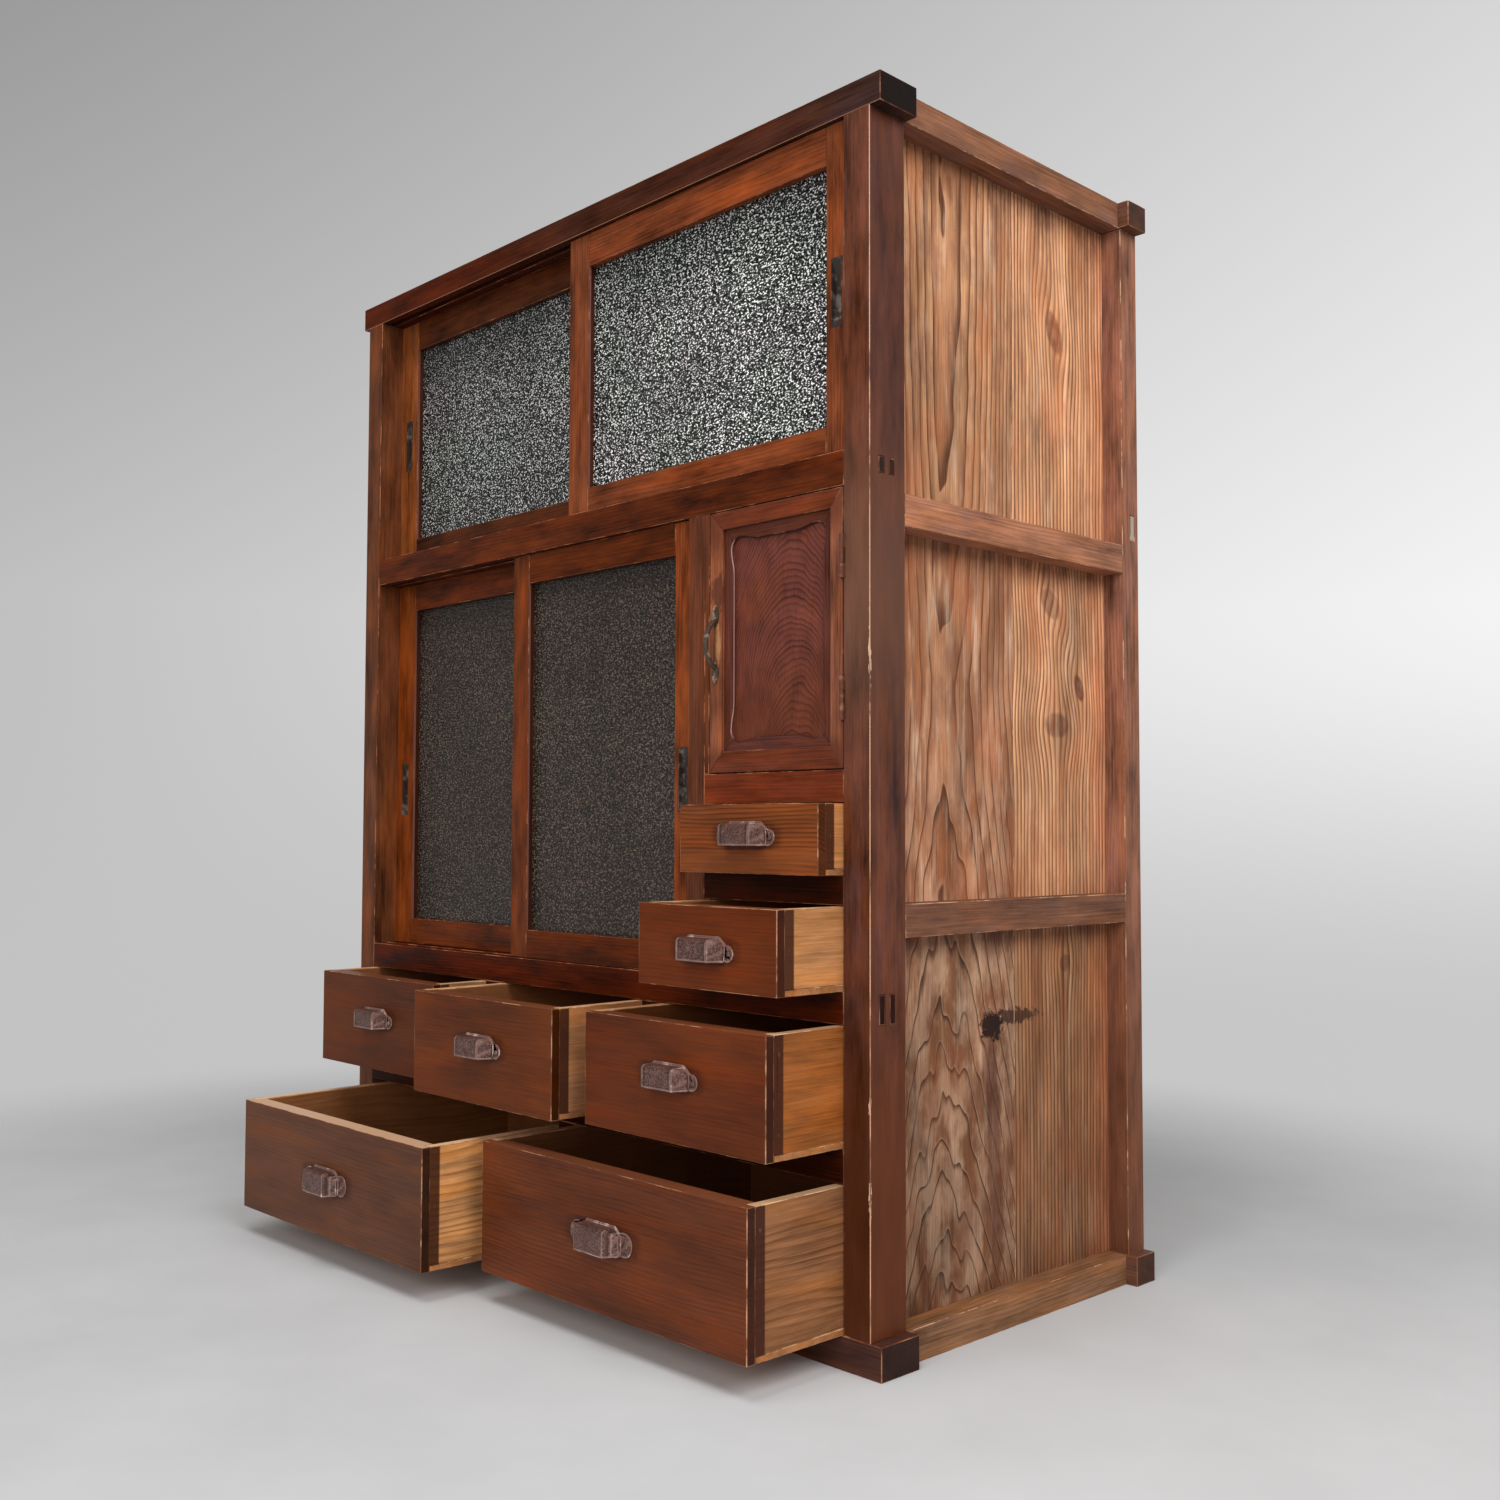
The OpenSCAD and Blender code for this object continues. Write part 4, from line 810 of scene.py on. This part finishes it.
def figured_panel():
    """Stacked round arches of a figured panel, one above the other."""
    s = Shader("figured_panel")
    x, y, z = s.place()
    warp = s.noise(x * 0.02, z * 0.009, 0.0, detail=2.0) - 0.5
    small = s.noise(x * 0.05, z * 0.03, 4.0, detail=2.0) - 0.5
    low = z.step(700, 560)
    t = abs(x - PANEL_HEART_X + warp * 16)
    side = (x - PANEL_HEART_X).step(-3, 3)
    arch = t ** 2.1 * (side * 0.005 + low * 0.011 + 0.0082)
    ring = (z + arch + warp * 24 + small * 10) / 6.4
    late = ring.fract().step(0.35, 0.9) * ring.fract().step(1.0, 0.92)
    strength = s.noise(ring * 0.5, 0.0, 8.0, detail=1.0).step(0.35, 0.65, 0.3, 1.0)
    fine = s.noise(x * 0.9, y, z * 0.04, detail=3.0, rough=0.6) - 0.5
    cloud = s.noise(x * 0.02, y, z * 0.012, detail=4.0).step(0.48, 0.68)
    colour = s.blend(late * strength * 0.85, srgb(112, 58, 46), srgb(52, 23, 23))
    golden = s.blend(late * 0.5, srgb(128, 62, 26), srgb(84, 36, 20))
    colour = s.blend((cloud * 0.4).most(low * 0.5), colour, golden)
    colour = s.shade(colour, (fine * 1.2 + small * 1.1 + 1) * (1 - low * 0.26))
    s.bump(late * 0.5 + fine, 0.12)
    return s.finish(colour, 0.42)


dress("cupboard_door_frame", by_grain(cupboard_wood), cupboard_edge)
dress("cupboard_door_fret", always(fret_wood), fret_lit_and_shaded_edge, width=0.8)
dress("cupboard_door_panel", always(figured_panel()), cupboard_edge, width=0.3)

# Drawers: the colour of each one's front and of its sides, and how strongly each is lined.
DRAWERS = {
    "column_upper": ((120, 65, 32), (170, 116, 72), 0.85, 0.3),
    "column_lower": ((89, 40, 14), (166, 116, 74), 0.25, 0.2),
    "row_right": ((88, 41, 18), (140, 84, 42), 0.15, 0.3),
    "row_middle": ((90, 44, 17), (164, 115, 78), 0.15, 0.2),
    "row_left": ((84, 42, 19), (164, 115, 78), 0.15, 0.2),
    "bottom_left": ((88, 54, 37), (192, 138, 88), 0.2, 0.7),
    "bottom_right": ((90, 46, 25), (132, 90, 60), 0.4, 0.75),
}
front_edge = worn_edge("drawer_arris", (190, 140, 108), (110, 66, 46), share=0.55)
peg_wood = wood("peg_end_grain", "x", (80, 46, 28), ends=0.7)
bottom_wood = wood("drawer_bottom_wood", "x", (158, 108, 70), rings=0, fibre=0.4, ends=0.9, rough=0.6)
# Solids of a drawer box that are smaller than this all round are pegs, and a board that is
# thinner than this is its bottom.
PEG_MOST = 25
BOTTOM_MOST = 15
for drawer, (front_base, side_base, lined, side_lined) in DRAWERS.items():
    front_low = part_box(drawer + "_drawer_front")[0] / MM
    box_low, box_high = [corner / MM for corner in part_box(drawer + "_drawer_box")]
    middle = (box_low.x + box_high.x) / 2
    half_inside = (box_high.x - box_low.x) / 2 - DRAWER_SIDE_T + 0.4
    pull_low, pull_high = [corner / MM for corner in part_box(drawer + "_drawer_pull")]
    planed = drawer == "bottom_left"

    def box_tone(s, x, y, z, colour):
        """Dark where the front laps the side, brown inside, pale on the top edges."""
        top = s.facing()[2].step(0.5, 0.8)
        grime = s.noise(x * 0.02, y * 0.02, z * 0.03, detail=3.0)
        inside = abs(x - middle).step(half_inside + 0.2, half_inside - 0.2)
        inside = inside * z.step(box_high.z - 1.0, box_high.z - 1.5)
        lap = y.step(front_low.y + FRONT_T + 1.5, front_low.y + FRONT_T - 0.5)
        colour = s.blend(inside * 0.8, colour, s.shade(srgb(118, 70, 42), grime * 0.9 + 0.5))
        colour = s.blend(lap * (1 - top) * 0.93, colour, srgb(62, 29, 20))
        rim = top * z.step(box_high.z - 9, box_high.z - 7)
        return s.blend(rim * (0.85 if planed else 0.5), colour, srgb(232, 190, 150))

    def box_lap_darkening(s, x, y, z):
        """The dark corner where the front laps the side, with its pegs."""
        lap = y.step(front_low.y + FRONT_T + 2.5, front_low.y + FRONT_T + 0.5)
        return lap * z.step(box_high.z - 1.5, box_high.z - 3) * 0.9

    def front_tone(s, x, y, z, colour):
        """The hidden back of the front is dark, its top edge a little paler, and painted shade rings
        the pull.
        """
        top = s.facing()[2].step(0.5, 0.8)
        back = y.step(front_low.y + LIP - 1, front_low.y + LIP + 1)
        colour = s.blend(back * (1 - top) * 0.7, colour, srgb(60, 32, 22))
        beside = (x - (pull_low.x + pull_high.x) / 2) / (pull_high.x - pull_low.x) * 2
        above = (z - (pull_low.z + pull_high.z) / 2 + 2) / (pull_high.z - pull_low.z) * 2
        grime = s.noise(x * 0.1, y, z * 0.1, detail=3.0)
        # Painted shade in patches round the pull.
        colour = s.blend((beside ** 4 + above ** 4).step(3, 0.8) * grime, colour, srgb(44, 22, 16))
        if planed:
            return s.blend(top * 0.8, colour, srgb(224, 180, 144))
        return s.blend(top * 0.35, colour, srgb(146, 92, 64))

    front_wood = wood(drawer + "_front_wood", "x", front_base, pitch=4.2, wander=8 + lined * 8,
                      rings=lined, fibre=0.5, mottle=0.9, patch=0.4, ends=0.36, extra=front_tone)
    box_woods = family(drawer + "_box_wood", side_base, pitch=6 + side_lined * 3,
                       wander=9 + side_lined * 24, rings=side_lined, fibre=0.6, mottle=0.7, warm=0.4,
                       ends=0.7, rough=0.6, extra=box_tone)

    def box_part(low, high):
        if max(high - low) < PEG_MOST:
            return peg_wood
        return bottom_wood if high.z - low.z < BOTTOM_MOST else box_woods[longest(low, high)]

    box_edge = worn_edge(drawer + "_box_arris", (226, 186, 144), (160, 110, 72), share=0.6,
                         grime=box_lap_darkening)
    dress(drawer + "_drawer_front", always(front_wood), front_edge)
    dress(drawer + "_drawer_box", box_part, box_edge, width=0.5)


def stamped_copper(pull):
    """Aged copper stamped with a fine grain, and with fans of ridges at the ends of the hood, with
    painted highlights on the ridges, lip, plate and beside the seam and painted shade in the seam and
    the crease by the plate.
    """
    s = Shader(pull + "_copper")
    low, high = [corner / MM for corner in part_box(pull)]
    middle = (low + high) / 2
    half = (high - low) / 2
    x, y, z = s.place()
    fan_at = half.x - 22
    end = abs(x - middle.x) - fan_at
    ribs = s.math("ARCTAN2", z - low.z + 3, end + 4)
    ribs = (ribs * 2.2).fract().hump(0.5, 0.35) * end.step(0, 2)
    seam_shade = abs(end).step(1.2, 0.4)
    grain = s.noise(x * 0.7, y * 0.7, z * 0.7, detail=2.0, rough=0.6) - 0.5
    broad = s.noise(x * 0.07, y * 0.07, z * 0.07, detail=3.0) - 0.5
    colour = s.blend(grain.step(-0.14, 0.16), srgb(62, 40, 36), srgb(130, 93, 83))
    out = high.y - y
    plate = out.step(2.0, 1.6)
    crease_shade = out.hump(3.2, 1.6)
    lip = z.step(low.z + 2.2, low.z + 1.4) * out.step(4, 6)
    painted_shine = end.hump(2.2, 1.0).most(lip).most(plate * 0.6)
    # Painted highlights on the ribs, the lip, the plate and beside the seam; painted shade in the seam
    # and the crease.
    colour = s.blend(ribs * 0.25, colour, srgb(184, 152, 142))
    colour = s.blend(seam_shade.most(crease_shade) * 0.6, colour, srgb(44, 30, 27))
    colour = s.blend(painted_shine * 0.45, colour, srgb(184, 156, 146))
    colour = s.shade(colour, broad * 1.3 + 1)
    s.bump(grain + ribs, 0.25)
    return s.finish(colour, 0.42 + grain * 0.4, 0.3, gloss=0.5)


def aged_metal(name, base, rubbed, rough, metal):
    """Small metal parts with dull hollows and rubbed high spots."""
    s = Shader(name)
    x, y, z = s.place()
    grain = s.noise(x * 0.4, y * 0.4, z * 0.4, detail=3.0, rough=0.6)
    broad = s.noise(x * 0.1, y * 0.1, z * 0.1, detail=2.0)
    colour = s.blend(broad.step(0.5, 0.72), srgb(*base), srgb(*rubbed))
    colour = s.shade(colour, (grain - 0.5) * 0.6 + 1)
    s.bump(grain, 0.1)
    return s.finish(colour, rough + (grain - 0.5) * 0.2, metal)


# The pulls' rounded edges are painted pale as a highlight, paler still in patches.
copper_edge_highlight = aged_metal("copper_rim_highlight", (138, 106, 96), (224, 196, 186), 0.35, 0.3)
dark_metal = aged_metal("dark_metal", (60, 51, 47), (118, 106, 98), 0.45, 0.15)
brass = aged_metal("aged_brass", (92, 76, 64), (196, 178, 156), 0.35, 0.5)
hinge_metal = aged_metal("hinge_metal", (106, 66, 52), (148, 104, 84), 0.5, 0.2)
for drawer in DRAWERS:
    pull = drawer + "_drawer_pull"
    dress(pull, always(stamped_copper(pull)), copper_edge_highlight, width=0.8)
for door in DOORS:
    dress(door + "_door_finger_pull", always(dark_metal), smooth=True)
for name in ("hinge_fixed_leaves", "hinge_moving_leaves"):
    dress(name, always(hinge_metal), smooth=True)
dress("cupboard_door_handle", always(brass), smooth=True)

# Floor, background and lights. The floor fades out between two distances in millimetres.
FLOOR_HALF = 6.0
FADE_START = 900
FADE_END = 1700
AMBIENT = 0.27


def background(s, direction):
    """The pale wall: brighter to the right of the photograph, darker up to the left."""
    toward_right = s.new("VectorMath", operation="DOT_PRODUCT")
    s.feed(toward_right.inputs[0], direction)
    toward_right.inputs[1].default_value = (math.cos(CAMERA_YAW), math.sin(CAMERA_YAW), 0.0)
    across = Field(s, toward_right.outputs["Value"])
    up = s.split(direction)[2]
    glow = up.step(-0.12, 0.14) * (across * 0.39 + 0.155)
    return across * 0.04 + 0.56 + glow - (up - 0.14).most(0) * 0.7


def make_floor():
    """A pale floor that fades out far from the cabinet."""
    mesh = bpy.data.meshes.new("floor")
    h = FLOOR_HALF
    mesh.from_pydata([(-h, -h, 0), (h, -h, 0), (h, h, 0), (-h, h, 0)], [], [(0, 1, 2, 3)])
    floor = bpy.data.objects.new("floor", mesh)
    bpy.context.scene.collection.objects.link(floor)
    s = Shader("pale_floor")
    x, y = s.place()[:2]
    mottle = s.noise(x * 0.004, y * 0.004, 0.0, detail=4.0, rough=0.6)
    level = mottle * 0.14 + 0.515
    out = (x * x + y * y) ** 0.5
    diffuse = s.new("BsdfDiffuse")
    s.feed(diffuse.inputs["Color"], s.point(level, level, level * 1.005))
    mix = s.new("MixShader")
    s.feed(mix.inputs[0], out.step(FADE_START, FADE_END))
    s.tree.links.new(diffuse.outputs[0], mix.inputs[1])
    s.tree.links.new(s.new("BsdfTransparent").outputs[0], mix.inputs[2])
    s.tree.links.new(mix.outputs[0], s.new("OutputMaterial").inputs["Surface"])
    mesh.materials.append(s.owner)


def make_world():
    """Even light on the cabinet, and the wall for the camera and for reflections."""
    world = bpy.data.worlds.new("studio")
    bpy.context.scene.world = world
    s = Shader("studio", world)
    wall = background(s, s.new("TexCoord").outputs["Generated"])
    path = s.new("LightPath")
    seen = Field(s, path.outputs["Is Camera Ray"])
    seen = seen.most(Field(s, path.outputs["Is Glossy Ray"]))
    seen = seen.most(Field(s, path.outputs["Is Transmission Ray"]))
    plain = s.new("Background")
    plain.inputs["Color"].default_value = (1.0, 1.0, 1.0, 1.0)
    plain.inputs["Strength"].default_value = AMBIENT
    shown = s.new("Background")
    s.feed(shown.inputs["Color"], s.point(wall, wall, wall))
    mix = s.new("MixShader")
    s.feed(mix.inputs[0], seen)
    s.tree.links.new(plain.outputs[0], mix.inputs[1])
    s.tree.links.new(shown.outputs[0], mix.inputs[2])
    s.tree.links.new(mix.outputs[0], s.new("OutputWorld").inputs["Surface"])


def area_light(name, at, target, size, power):
    """A square lamp aimed at a target. It isn't seen itself, also not in reflections."""
    light = bpy.data.lights.new(name, "AREA")
    light.shape = "SQUARE"
    light.size = size
    light.energy = power
    lamp = bpy.data.objects.new(name, light)
    bpy.context.scene.collection.objects.link(lamp)
    lamp.location = at
    lamp.rotation_euler = (Vector(target) - Vector(at)).to_track_quat("-Z", "Y").to_euler()
    lamp.visible_camera = False
    lamp.visible_glossy = False


make_floor()
make_world()
area_light("key", (2.6, -0.4, 2.5), (0.3, 0.0, 0.7), 2.0, 64)
area_light("fill", (1.6, -3.8, 1.7), (0.0, 0.0, 0.6), 3.0, 90)
area_light("top", (0.2, -0.9, 3.2), (0.0, 0.0, 0.0), 1.2, 30)


def make_camera():
    """The camera of the photograph."""
    data = bpy.data.cameras.new("photo")
    data.sensor_width = SENSOR
    data.lens = FOCAL_PIXELS / PHOTO_SIZE * SENSOR
    data.shift_y = CAMERA_SHIFT_Y
    data.clip_start = 0.05
    camera = bpy.data.objects.new("photo", data)
    bpy.context.scene.collection.objects.link(camera)
    level = math.cos(CAMERA_PITCH)
    sideways = -math.sin(CAMERA_YAW) * level
    forward = Vector((sideways, math.cos(CAMERA_YAW) * level, math.sin(CAMERA_PITCH)))
    right = Vector((math.cos(CAMERA_YAW), math.sin(CAMERA_YAW), 0.0))
    up = right.cross(forward)
    turned_right = math.cos(CAMERA_ROLL) * right + math.sin(CAMERA_ROLL) * up
    turned_up = math.cos(CAMERA_ROLL) * up - math.sin(CAMERA_ROLL) * right
    turn = Matrix((turned_right, turned_up, -forward)).transposed()
    camera.matrix_world = Matrix.Translation(CAMERA_AT) @ turn.to_4x4()
    bpy.context.scene.camera = camera


make_camera()
bpy.context.scene.view_settings.view_transform = "Standard"
